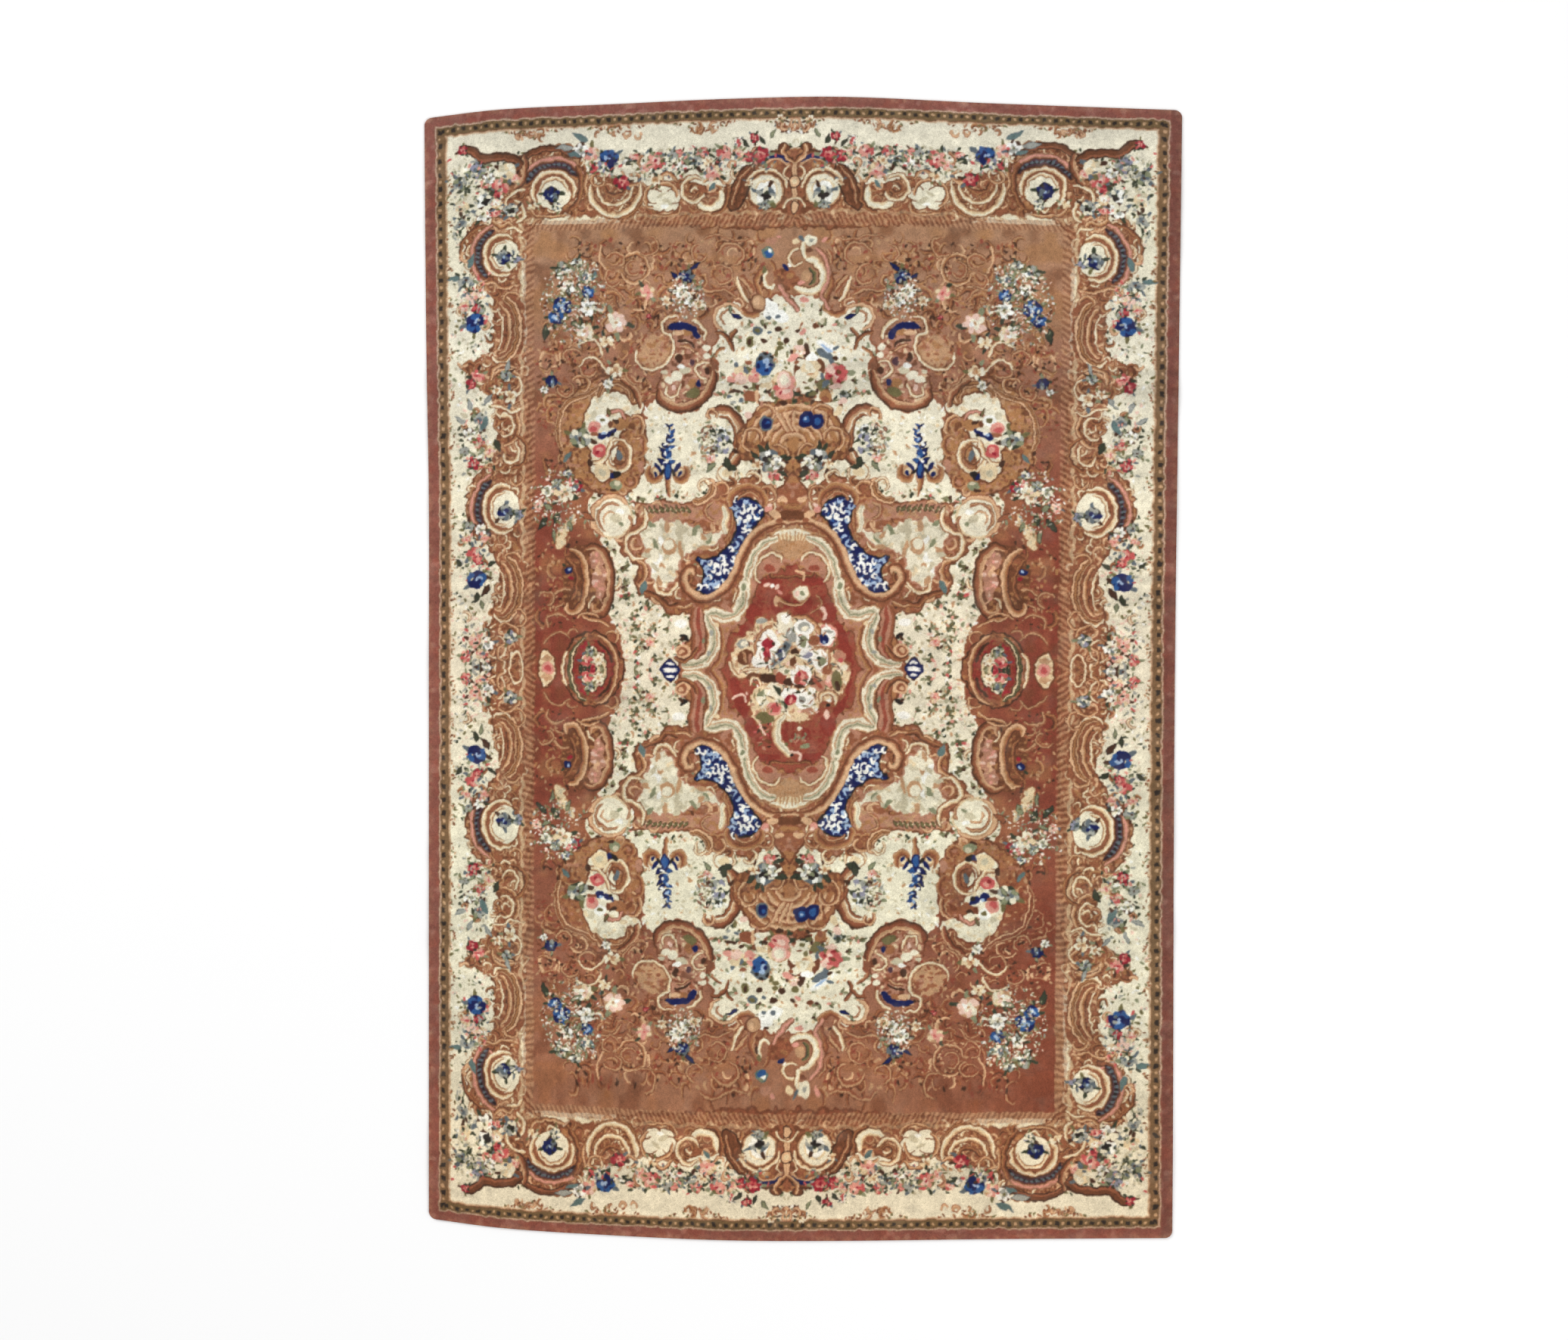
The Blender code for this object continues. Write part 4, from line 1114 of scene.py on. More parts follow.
BLOOMS = ((.15, 2.53, .055, "dark"), (.15, 2.48, .03, "grey"), (.54, 2.73, .05, "grey"),
    (.6, 2.7, .035, "white"), (.46, 2.72, .03, "ivory"), (.66, 2.76, .04, "grey"),
    (.99, 2.765, .055, "cobalt"), (1.03, 2.72, .035, "lilac"), (1.14, 2.81, .045, "white"),
    (1.3, 2.58, .048, "navy"),
    (1.27, 2.51, .034, "lilac"), (1.54, 2.72, .05, "cream rose"), (1.7, 2.735, .05, "lilac"),
    (1.64, 2.69, .035, "white"), (1.66, 2.56, .05, "dark"), (1.52, 2.5, .045, "dark"),
    (1.67, 2.49, .05, "white"), (1.6, 2.545, .035, "pale"), (1.8, 2.67, .045, "grey"),
    (1.79, 2.55, .045, "cream rose"), (1.8, 2.44, .04, "grey"), (1.56, 2.22, .048, "navy"),
    (1.5, 2.21, .034, "lilac"), (1.77, 2.1, .048, "grey"), (1.72, 1.87, .058, "cobalt"),
    (1.55, 1.58, .035, "grey"), (1.53, 1.465, .045, "ivory"), (1.6, 1.5, .03, "ivory"),
    (1.71, 1.34, .05, "grey"), (1.76, 1.27, .04, "white"), (1.79, 1.18, .03, "grey"),
    (1.565, .84, .048, "navy"), (1.495, .83, .034, "lilac"), (1.72, .48, .058, "cobalt"),
    (1.7, .75, .035, "white"), (1.77, .77, .035, "grey"), (1.66, .13, .042, "white"),
    (1.73, 0, .045, "grey"), (1.67, .02, .04, "white"), (1.15, 1.24, .062, "grey"),
    (1.24, .945, .058, "ivory"), (1.22, 1.05, .028, "lilac"), (1.28, 1.0, .03, "grey"),
    (1.33, .96, .036, "white"), (.96, 1.6, .048, "ivory"), (.99, 1.53, .03, "white"),
    (1.3, 1.545, .038, "navy"), (1.34, 1.5, .025, "white"), (1.24, 1.95, .055, "cobalt"),
    (1.275, 1.89, .045, "cobalt"), (1.1, 2.02, .038, "cobalt"), (1.1, 1.94, .05, "white"),
    (1.24, 2.15, .045, "grey"), (1.21, 2.05, .04, "white"), (1.12, 2.1, .042, "grey"),
    (1.16, 2.18, .035, "grey"), (1.12, 1.81, .055, "pale"), (.95, 1.86, .065, "pale"),
    (1.0, 1.76, .04, "ivory"), (.57, 2.1, .045, "navy"), (.6, 2.02, .045, "white"),
    (.55, 1.97, .04, "white"), (.78, 2.02, .045, "soft"), (.5, 1.95, .035, "ivory"),
    (.37, 1.205, .058, "lilac"), (.385, 1.275, .034, "dark"), (.44, 1.13, .03, "soft"),
    (.13, 1.12, .065, "dark"), (.08, 1.1, .04, "white"), (.19, 1.1, .035, "ivory"),
    (1.045, .05, .035, "ivory"), (1.09, .1, .032, "grey"), (1.53, .165, .042, "lilac"),
    (.68, 1.97, .03, "ivory"), (.3, 2.83, .02, "white"), (.08, 2.93, .03, "ivory"),
    (.03, 2.88, .03, "white"), (.74, 2.64, .035, "ivory"), (.24, 2.6, .025, "ivory"),
    (1.4, 2.52, .03, "ivory"))
for x, y, size, kind in ROSES + BLOOMS:
    flower(x, y, size, kind)
LEAF_EDGES = {  # the yarn round a leaf of each yarn
    "umber": "black", "moss": "umber", "bottle": "black", "sage": "bottle", "grey": "slate",
    "teal": "slate", "ochre": "brown", "rust": "umber", "navy": "black",
}
LEAVES = ((1.65, .45, .08, .035, -60, "umber"), (1.72, .41, .06, .03, -90, "bottle"),
    (1.8, .55, .06, .026, 40, "bottle"), (1.66, .55, .06, .024, 140, "bottle"),
    (1.7, .37, .06, .024, -110, "sage"),
    (1.55, 1.6, .07, .026, 100, "grey"), (1.66, 1.36, .1, .036, -70, "teal"),
    (1.62, 1.24, .08, .034, -120, "bottle"), (1.74, 1.4, .07, .026, 60, "grey"),
    (1.78, 1.34, .07, .026, 20, "grey"), (1.67, 1.43, .07, .026, 120, "grey"),
    (1.1, 2.86, .1, .036, 20, "teal"), (1.18, 2.83, .1, .036, -5, "grey"),
    (1.14, 2.78, .08, .026, 10, "teal"), (.9, 2.72, .07, .03, 150, "bottle"),
    (.13, 2.83, .06, .024, 110, "sage"), (.16, 2.8, .06, .024, 60, "bottle"),
    (.24, 2.79, .06, .024, 40, "bottle"), (.42, 2.61, .06, .026, -60, "teal"),
    (1.75, 2.17, .09, .036, 100, "teal"), (1.8, 2.12, .08, .03, -10, "teal"),
    (1.33, 1.85, .09, .04, -90, "bottle"), (1.26, 1.83, .09, .035, -60, "ochre"),
    (1.19, 1.86, .07, .03, 200, "sage"), (1.27, .85, .09, .036, -80, "bottle"),
    (1.33, .82, .09, .036, -60, "bottle"), (1.3, .86, .06, .028, 20, "sage"),
    (1.15, .84, .09, .036, 200, "rust"), (1.22, .8, .07, .03, 240, "sage"),
    (1.3, .76, .09, .024, -100, "sage"), (.08, 1.06, .06, .03, 200, "bottle"),
    (.18, 1.13, .06, .03, 30, "bottle"), (.14, 1.17, .05, .026, 90, "bottle"),
    (.05, 1.12, .05, .026, 150, "bottle"), (.36, 1.14, .08, .034, -110, "bottle"),
    (.42, 1.11, .07, .026, -60, "sage"), (.42, 1.25, .06, .026, 60, "bottle"),
    (1.12, 1.2, .06, .026, 60, "sage"), (.98, 1.36, .05, .022, 60, "moss"),
    (1.2, 1.17, .07, .026, -60, "teal"), (1.14, 2.0, .06, .024, 60, "sage"),
    (1.2, 2.0, .07, .026, 70, "bottle"), (1.25, 2.08, .08, .028, 80, "sage"),
    (1.08, 2.08, .06, .024, 110, "teal"), (.55, 2.13, .07, .026, 130, "navy"),
    (.61, 2.09, .06, .024, 30, "navy"), (.53, 2.03, .05, .022, 160, "sage"),
    (.79, .48, .08, .04, -80, "teal"))
for x, y, length, width, turn, green in LEAVES:
    leaf(x, y, length, width, turn, (LEAF_EDGES[green], green))
# loose small leaves and petals round the sprays, on the field and among the border's flowers
SPRAYS = (  # the middle of each spray, and the squares of its half width and half length
    (1.18, 1.98, .03, .06), (.57, 2.0, .009, .02), (1.28, .9, .02, .03), (.46, 1.2, .0022, .008),
)
GARLAND_HEARTS = (.6, 1.2, 1.98, .08, 2.6)


def near_spray(yarn, x, y):
    return any((x - at_x) ** 2 / wide + (y - at_y) ** 2 / long < 1 for at_x, at_y, wide, long in SPRAYS)


def in_garland(yarn, x, y):
    on_side = 1.65 < x < 1.8 and min(abs(y - heart) for heart in GARLAND_HEARTS) < .14
    return 2.66 < y < 2.8 and abs(x - 1.3) > .2 or on_side


loose_leaves = dabs(("ivory", "grey", "sage", "moss", "blush", "white"), .005, .01, 3)
strew((.3, 1.4, .7, 2.3), .024, .55, 91, near_spray, loose_leaves)
garland_leaves = dabs(("grey", "sage", "bottle", "pink", "stone", "slate", "rose"), .008, .013, 2)
strew((.1, 1.85, 0, 2.85), .036, .6, 92, in_garland, garland_leaves)

# what hangs on the guard stripes: curls and leaves at the ends, leaves along the sides
draw = np.random.default_rng(81)
hang = curls(("pale curl", "curl", "ochre"), .014, .026)
HANGING = ("rust", "moss", "tan", "brown")
for x in (.03, .475, .95, 1.4):
    for k in range(7):
        hang(x + .05 * draw.normal(), 2.915 - .035 * draw.random(), draw)
    for k in range(26):
        u = .16 * (draw.random() - .5) * 2
        y = 2.93 - .05 * draw.random() * (1 - abs(u) / .17)
        dab(x + u, y, .009, .0045, 180 * draw.random(), HANGING[k % 4])
for y in np.arange(.12, 2.85, .23):
    for k in range(12):
        u = .07 * (draw.random() - .5) * 2
        x = 1.865 - .035 * draw.random() * (1 - abs(u) / .08)
        dab(x, y + u, .008, .004, 180 * draw.random(), HANGING[k % 4])


# The whole paper: the quarter turned over both ways, then the bouquets and scrolls near the middle line,
# which aren't turned over across the carpet. Those of the two ends are drawn on the paper as it lies and
# again on the paper turned end for end.
half = np.concatenate([paper[:, ::-1], paper], axis=1)
full = np.concatenate([half[::-1], half], axis=0)
sheet.update(left=-PATTERN_WIDTH / 2, near=-PATTERN_LENGTH / 2)
for turned_paper in (full, full[::-1]):
    sheet["paper"] = turned_paper
    draw = np.random.default_rng(31)
    for count, y, spread_x, spread_y, long, wide, yarns in (
        # brown and mossy shade under the roses, and small leaves over them
        (80, 1.465, .15, .03, .016, .009, ("moss", "bottle", "rust", "brown", "umber", "dusty")),
        (60, 1.68, .16, .06, .01, .005, ("moss", "sage", "tan", "cream")),
    ):
        for k in range(count):
            sx, sy = spread_x * draw.normal(), y + spread_y * draw.normal()
            dab(sx, sy, long, wide, 360 * draw.random(), yarns[k % len(yarns)])
    each(flower, ((-.05, 1.525, .078, "soft", 0), (-.05, 1.5, .06, "pink", 2),
        (.085, 1.6, .092, "ivory", 4), (.09, 1.6, .06, "cream rose", 0), (.228, 1.575, .066, "pink", 3),
        (-.28, 1.57, .05, "soft", 2), (-.2, 1.57, .04, "soft", 2),
        (-.3, 1.45, .05, "grey", 2), (.26, 1.46, .035, "grey", 2), (.03, 1.7, .035, "pale", 1),
        (-.13, 1.93, .06, "white", 0)))
    each(dab, (
        (-.12, 1.935, .04, .03, 0, "white"), (-.07, 1.885, .045, .035, -30, "white"),
        (-.29, 1.6, .03, .02, 20, "cream"), (-.28, 1.56, .03, .018, 0, "blush"),
        (-.33, 1.55, .022, .016, 0, "pink"), (-.21, 1.55, .03, .018, 0, "pink"),
        (-.2, 1.6, .025, .016, 40, "pink"), (-.24, 1.64, .02, .012, 0, "rust"),
        (-.25, 1.595, .022, .009, -60, "slate"), (-.15, 1.52, .03, .014, 10, "cream"),
        (-.31, 1.487, .03, .012, 0, "umber"), (-.22, 1.46, .05, .03, 0, "rust"),
        (-.19, 1.46, .012, .035, 0, "peach"), (-.31, 1.45, .05, .03, 0, "ivory"),
        (-.34, 1.46, .014, .01, 0, "slate"), (-.3, 1.47, .012, .01, 0, "sage"),
        (-.28, 1.44, .016, .01, 30, "slate"), (-.32, 1.43, .014, .008, 0, "grey"),
        # the blue flower
        (-.15, 1.635, .05, .063, 0, "slate"), (-.155, 1.6, .04, .03, 0, "blue"),
        (-.165, 1.635, .028, .02, 0, "blue"), (-.135, 1.625, .016, .02, 0, "sky"),
        (-.145, 1.65, .018, .014, 0, "sky"), (-.175, 1.665, .014, .01, 40, "black"),
        (-.145, 1.69, .013, .009, 0, "black"), (-.115, 1.668, .012, .008, -30, "black"),
        (-.12, 1.628, .01, .012, 0, "navy"), (-.14, 1.598, .012, .008, 0, "navy"),
        (-.185, 1.625, .008, .012, 0, "navy"),
        # the oval rose, the ivory rose and the pink one with dark eyes
        (-.05, 1.547, .036, .046, 0, "blush"), (-.05, 1.55, .022, .028, 0, "ivory"),
        (-.045, 1.475, .05, .034, 0, "pink"), (-.04, 1.485, .028, .014, 20, "blush"),
        (-.072, 1.477, .012, .007, 30, "crimson"), (-.05, 1.424, .022, .012, 0, "umber"),
        (.1, 1.665, .034, .02, 0, "white"), (.06, 1.56, .03, .022, -40, "ivory"),
        (.092, 1.543, .013, .011, 0, "moss"), (.09, 1.575, .02, .008, 0, "tan"),
        (-.005, 1.667, .03, .018, 30, "pink"), (.03, 1.72, .022, .016, 0, "blush"),
        (.015, 1.642, .013, .01, 0, "rust"), (.155, 1.56, .01, .02, 10, "slate"),
        (.2, 1.6, .02, .03, 30, "blush"), (.25, 1.55, .03, .012, 40, "rose"),
        (.225, 1.51, .036, .014, 5, "blush"), (.241, 1.582, .013, .012, 0, "brown"),
        (.198, 1.56, .01, .009, 0, "crimson"), (.24, 1.535, .014, .008, -20, "crimson"),
        (.225, 1.605, .014, .008, 0, "rose"), (.17, 1.455, .03, .035, 30, "ochre"),
        (.165, 1.44, .015, .02, 30, "rust"), (.262, 1.47, .016, .012, 0, "bottle"),
        (.262, 1.43, .026, .016, 40, "blush"), (.11, 1.47, .02, .012, 0, "moss"),
        # the pale streak and the dark seeds among the small leaves
        (.17, 1.68, .05, .022, -30, "slate"), (.165, 1.725, .055, .02, -32, "white"),
        (.175, 1.712, .04, .009, -32, "sky"), (.225, 1.712, .02, .009, 30, "slate"),
        (.222, 1.66, .015, .012, 0, "umber"), (.27, 1.655, .012, .008, 0, "moss"),
        (-.19, 1.81, .025, .024, 0, "slate"), (-.19, 1.813, .013, .012, 0, "moss"),
        (-.232, 1.75, .021, .03, 0, "moss"), (-.232, 1.75, .01, .018, 0, "umber"),
        (-.155, 1.755, .02, .014, -30, "umber"), (-.08, 1.815, .02, .016, 0, "umber"),
        (-.035, 1.76, .019, .018, 0, "umber"), (-.07, 1.742, .018, .014, 0, "moss"),
        (.035, 1.75, .018, .018, 0, "moss"), (-.13, 1.88, .014, .01, 0, "slate"),
        (-.08, 1.88, .013, .012, 0, "slate"), (-.1, 1.85, .012, .01, 0, "sage"),
        (-.13, 1.8, .012, .01, 0, "slate"), (.12, 1.83, .019, .015, 0, "brown"),
        (.024, 1.81, .015, .009, 40, "umber"), (.045, 1.84, .013, .008, 60, "rust"),
        (.05, 1.8, .02, .01, 30, "pink"), (-.07, 1.715, .02, .012, 0, "moss"),
        (-.09, 1.69, .012, .02, 0, "moss"), (.19, 1.8, .014, .008, 0, "tan"),
        (-.24, 1.36, .022, .016, 0, "blush"), (.24, 1.375, .02, .03, -30, "cream"),
        # the blue berries, and the flowers above the scroll
        (-.143, 1.315, .036, .042, 0, "slate"), (-.14, 1.315, .026, .03, 0, "navy"),
        (-.135, 1.32, .012, .01, 0, "blue"), (.07, 1.335, .041, .042, 0, "navy"),
        (.127, 1.325, .035, .04, 0, "navy"), (.13, 1.325, .018, .02, 0, "blue"),
        (.07, 1.335, .02, .018, 0, "blue"), (.068, 1.338, .009, .009, 0, "sky"),
        (-.12, 2.29, .032, .018, 0, "dusty"), (-.14, 2.225, .034, .032, 0, "teal"),
        (-.138, 2.215, .026, .016, -30, "blue"), (-.13, 2.235, .014, .009, -40, "white"),
        (-.147, 2.246, .01, .008, 0, "sage"), (.085, 2.285, .036, .03, 0, "ivory"),
        (.09, 2.285, .01, .01, 0, "grey"), (.04, 2.298, .02, .01, -50, "slate"),
        (.01, 2.285, .018, .014, 0, "cream"), (.08, 2.235, .02, .012, 0, "brown"),
        (.16, 2.29, .018, .009, 40, "pink"), (-.08, 2.31, .014, .009, 0, "pink"),
    ))
    patch(((-.11, 2.13), (-.05, 2.14), (0, 2.12), (.03, 2.06), (-.02, 2.02), (-.07, 2.04), (-.1, 2.06)),
        "rust", None, .006, .004, 33, ("ochre", "brown"))
    each(ribbon, (
        (((-.09, 1.385), (-.065, 1.33), (-.025, 1.27)), .026, "pale curl"),
        (((-.05, 1.385), (-.03, 1.33), (0, 1.275)), .026, "pale curl"),
        (((0, 1.385), (0, 1.33), (.02, 1.27)), .024, "pale curl"),
        (((.17, 1.37), (.18, 1.33), (.17, 1.29)), .022, "peach"),
        (((.115, 2.25), (.16, 2.2), (.182, 2.12), (.17, 2.05), (.14, 1.99)), .034, "old rose"),
        (((.06, 2.19), (.11, 2.175), (.147, 2.12), (.145, 2.06), (.11, 2.02), (.05, 2.02), (.01, 2.045)),
            .046, "ivory"), (((.08, 2.145), (.105, 2.11), (.105, 2.07), (.08, 2.045)), .018, "moss line"),
        (((.05, 2.17), (.01, 2.155), (-.02, 2.175), (-.025, 2.21), (0, 2.24), (.035, 2.245), (.045, 2.28)),
            .026, "cream"), (((.045, 2.28), (.05, 2.23), (.06, 2.19)), .03, "ivory"),
        (((-.145, 2.135), (-.155, 2.09), (-.145, 2.05), (-.115, 2.04), (-.095, 2.06)), .026, "ivory"),
        (((-.08, 2.06), (-.045, 2.0), (0, 1.945), (.03, 1.91)), .034, "old rose"),
        (((.14, 2.0), (.17, 1.955), (.19, 1.92)), .03, "old rose"),
        (((.285, 2.1), (.25, 2.06), (.215, 2.01)), .032, "curl"),
        (((-.285, 2.1), (-.25, 2.06), (-.215, 2.01)), .032, "curl"),
        (((-.13, 2.18), (-.11, 2.16), (-.1, 2.12)), .022, "ochre"),
        (((.17, 2.24), (.195, 2.2), (.2, 2.16)), .02, "curl"),
    ))
    each(dab, ((-.19, 1.955, .042, .05, 20, "brown"), (-.186, 1.957, .034, .042, 20, "tan"),
        (-.195, 1.965, .018, .022, 0, "peach"), (-.17, 2.09, .01, .018, 0, "umber"),
        (-.155, 2.135, .012, .02, -20, "moss"), (-.04, 2.147, .022, .011, -42, "navy"),
        (-.02, 2.16, .014, .007, -42, "white"),
        (.065, 2.1, .026, .03, 0, "tan"), (.04, 2.06, .02, .012, 0, "pink"),
        (.06, 1.97, .026, .014, 0, "pink"), (-.02, 2.1, .02, .016, 0, "ochre")))
# the bouquet in the medallion's middle: a ragged mass of pale leaves with flowers and brown gaps on it
sheet["paper"] = full
patch(((-.31, .1), (-.3, .16), (-.25, .18), (-.24, .215), (-.2, .22), (-.195, .275), (-.15, .285),
    (-.09, .27), (-.06, .31), (-.02, .325), (.02, .29), (.08, .285), (.13, .25), (.16, .24), (.22, .23),
    (.24, .16),
    (.21, .1), (.26, .1), (.28, .05), (.31, .02), (.31, -.06), (.27, -.13), (.24, -.19), (.17, -.19),
    (.1, -.26), (.03, -.28), (-.04, -.27), (-.1, -.3), (-.18, -.28), (-.22, -.22), (-.21, -.13),
    (-.15, -.09), (-.21, -.04), (-.29, -.04), (-.33, .03)),
    "cream", "rust", .012, .01, 95, ("ivory", "tan", "dusty"))
draw = np.random.default_rng(96)
for k in range(90):
    t, r = 2 * math.pi * draw.random(), .27 * draw.random() ** .6
    yarn = ("moss", "white", "grey", "rust", "blush", "ivory")[k % 6]
    dab(r * math.cos(t), r * math.sin(t), .012, .006, 360 * draw.random(), yarn)
for k in range(24):
    for x, y, spread_x, spread_y, yarns in (
        (-.14, -.33, .03, .04, ("umber", "rose", "moss", "dusty")),
        (.05, -.37, .035, .03, ("sage", "dusty", "brick", "rust")),
    ):
        sx, sy = x + spread_x * draw.normal(), y + spread_y * draw.normal()
        dab(sx, sy, .012, .006, 360 * draw.random(), yarns[k % 4])
each(dab, (
    (-.245, .07, .045, .042, 0, "brown"), (-.25, .075, .01, .034, 15, "tan"),
    (-.22, .06, .008, .026, -10, "dusty"), (-.26, .145, .032, .024, 20, "grey"),
    (-.25, .15, .02, .012, 20, "ivory"), (-.16, .265, .03, .014, 10, "grey"),
    (-.12, -.04, .06, .024, -10, "umber"), (-.2, -.03, .04, .02, 0, "brown"),
    (-.05, -.04, .03, .035, 30, "brick"), (0, -.06, .04, .022, 0, "umber"),
    (.02, .1, .022, .018, 0, "umber"), (.015, .045, .018, .022, 0, "brown"),
    (.14, -.07, .05, .035, -40, "dusty"), (.115, -.06, .014, .03, 40, "umber"),
    (.145, -.07, .012, .034, 42, "brick"), (.21, -.07, .026, .024, 0, "pink"),
    (.2, -.05, .012, .02, 0, "blush"), (.245, -.06, .03, .055, 0, "moss"),
    (.25, -.09, .014, .03, 10, "umber"), (.19, 0, .03, .03, 0, "rust"), (.26, .07, .034, .03, 0, "dusty"),
    (.265, .05, .014, .012, 0, "rose"), (.285, .01, .02, .018, 0, "ivory"),
    (.305, -.04, .01, .034, -10, "cream"), (.09, -.22, .03, .02, 0, "dusty"),
    (.05, -.25, .045, .022, 20, "cream"), (-.13, -.25, .05, .026, -20, "moss"),
    (-.12, -.38, .024, .01, 0, "brown"),
    # white leaves, and the crimson flower in its white ring
    (-.035, .245, .042, .075, 12, "ivory"), (-.03, .28, .024, .03, 0, "white"),
    (0, .19, .026, .04, 20, "grey"), (.07, .235, .058, .05, 0, "white"),
    (.068, .233, .032, .026, 0, "grey"), (.073, .225, .02, .014, 30, "ivory"),
    (.062, .16, .04, .048, 0, "white"), (.064, .155, .022, .032, 0, "sage"),
    (-.125, .115, .072, .105, 8, "white"), (-.165, .05, .045, .034, 0, "white"),
    (-.122, .145, .034, .028, 0, "crimson"), (-.128, .1, .02, .036, 0, "crimson"),
    (-.125, .11, .012, .012, 0, "rose"), (-.133, .062, .012, .014, 0, "brick"),
    (-.152, .112, .01, .01, 0, "bottle"), (-.095, .145, .01, .012, 0, "umber"),
    (-.133, .045, .01, .008, 0, "bottle"), (-.055, .09, .085, .03, 52, "grey"),
    (-.025, .128, .024, .018, 45, "slate"), (-.03, .128, .01, .008, 0, "black"),
    (-.055, .085, .028, .026, 50, "navy"), (-.06, .08, .02, .016, 20, "slate"),
    (-.083, .045, .026, .01, 50, "slate"), (-.04, .09, .009, .02, 0, "white"),
    (-.075, .07, .008, .02, 30, "white"),
    # the pale violet, the white flower with its green eye, the red rose and the red heart in white
    (.085, .085, .042, .034, 0, "white"), (.085, .08, .026, .016, 10, "lilac"),
    (.1, .045, .012, .018, 0, "slate"), (.158, .055, .046, .05, 0, "white"),
    (.165, .045, .024, .026, 0, "sage"), (.15, .064, .012, .01, 0, "bottle"),
    (-.035, 0, .034, .02, -20, "ivory"), (-.02, -.005, .016, .01, 0, "sage"),
    (.055, -.03, .056, .054, 0, "white"), (.07, 0, .04, .022, 0, "white"),
    (.055, -.038, .038, .038, 0, "rose"), (.035, -.05, .016, .022, 0, "brick"),
    (.06, -.03, .012, .022, 30, "pink"), (.045, -.02, .008, .012, 0, "crimson"),
    (.07, -.055, .016, .012, 0, "pink"), (.05, -.085, .03, .012, 0, "umber"),
    (-.135, -.14, .075, .062, 15, "cream"), (-.14, -.12, .045, .022, 20, "sage"),
    (-.15, -.16, .04, .02, -20, "ivory"), (-.1, -.1, .045, .03, 40, "ivory"),
    (-.07, -.105, .034, .01, -50, "bottle"), (-.06, -.15, .045, .018, -45, "ivory"),
    (-.03, -.18, .026, .01, -45, "bottle"), (-.05, -.17, .028, .008, -45, "sage"),
    (-.09, -.205, .042, .038, 0, "pink"), (-.08, -.2, .02, .026, 0, "rose"),
    (-.12, -.21, .012, .02, 0, "tan"), (0, -.125, .05, .03, 0, "white"),
    (.07, -.16, .052, .044, 0, "white"), (.065, -.16, .018, .022, 30, "grey"),
    (.04, -.115, .014, .01, 0, "bottle"), (.11, -.115, .024, .018, 0, "white"),
    (.1, -.128, .012, .008, 0, "moss"), (0, -.157, .032, .03, 0, "crimson"),
    (.002, -.16, .01, .02, 0, "pink"), (.02, -.17, .012, .012, 0, "rose"),
    (-.03, -.21, .03, .016, -45, "ivory"), (.05, -.31, .014, .012, 0, "ivory"),
    (.195, -.24, .016, .028, 10, "blush"), (.08, -.41, .026, .014, 0, "sage"),
    # the blue eye in its pink and white ring
    (.19, .18, .058, .06, 0, "pink"), (.188, .178, .048, .05, 0, "white"),
    (.175, .162, .026, .026, 0, "navy"), (.178, .15, .01, .008, 0, "sky"),
    (.2, .205, .026, .009, -20, "grey"), (.122, .155, .03, .03, 0, "rust"),
))
for k in range(230):  # the veins, tips and gaps of its leaves
    t, r = 2 * math.pi * draw.random(), .28 * draw.random() ** .5
    x, y = r * math.cos(t), .02 + 1.05 * r * math.sin(t)
    row, column = int((y + PATTERN_LENGTH / 2) / CELL), int((x + PATTERN_WIDTH / 2) / CELL)
    if full[row, column].min() > 90:
        yarn = ("umber", "moss", "white", "bottle", "tan", "ivory", "rust")[k % 7]
        dab(x, y, .012 + .006 * draw.random(), .0032, 360 * draw.random(), yarn)
each(ribbon, (
    (((-.195, .09), (-.185, .16), (-.15, .215), (-.1, .24)), .018, "curl"),
    (((.01, .285), (.07, .285), (.12, .255), (.145, .215), (.155, .18)), .024, "peach"),
    (((.12, .117), (.16, .117), (.2, .112), (.205, .05), (.2, 0)), .014, "curl"),
    (((.14, .34), (.17, .32), (.18, .29), (.165, .265)), .02, "blush line"),
    (((-.33, .05), (-.315, 0), (-.28, -.03)), .022, "cream"),
    (((-.27, 0), (-.22, .01), (-.17, .01)), .018, "cream"),
    (((-.22, -.08), (-.205, -.04), (-.17, -.045), (-.155, -.085)), .018, "cream"),
    (((-.31, -.15), (-.28, -.13), (-.25, -.135), (-.24, -.17)), .018, "blush line"),
    (((.16, -.175), (.165, -.135), (.2, -.12), (.24, -.145), (.235, -.19)), .03, "cream"),
    (((-.035, -.235), (-.068, -.3), (-.066, -.37), (-.03, -.43), (.01, -.455)), .05, "pale"),
    (((0, -.435), (.04, -.44), (.055, -.465), (.045, -.485)), .02, "blush line"),
    (((-.08, .4), (-.03, .36), (.03, .35), (.09, .38)), .02, "peach"),
    (((.1, .3), (.16, .35), (.13, .4)), .014, "curl"),
    (((-.16, -.28), (-.155, -.32), (-.13, -.35)), .018, "blush line"),
    (((.02, .53), (.065, .515), (.065, .48)), .014, "line"),
))
each(dab, ((.2, -.19, .01, .01, 0, "black"), (.01, -.455, .01, .008, 0, "black"),
    (-.02, -.4, .008, .012, 0, "moss"), (.05, .41, .05, .042, 0, "tan"),
    (.05, .412, .044, .036, 0, "ivory"), (.03, .41, .014, .02, 0, "blush"),
    (.06, .41, .014, .012, 0, "sage"),
    (-.135, .46, .018, .012, 30, "blush"), (-.105, .452, .014, .012, 0, "white"),
    (-.075, .445, .014, .016, -30, "blush"), (-.06, .42, .012, .01, 0, "pink"),
    (-.08, .37, .016, .03, 0, "peach"), (-.06, .35, .014, .02, 30, "rust")))


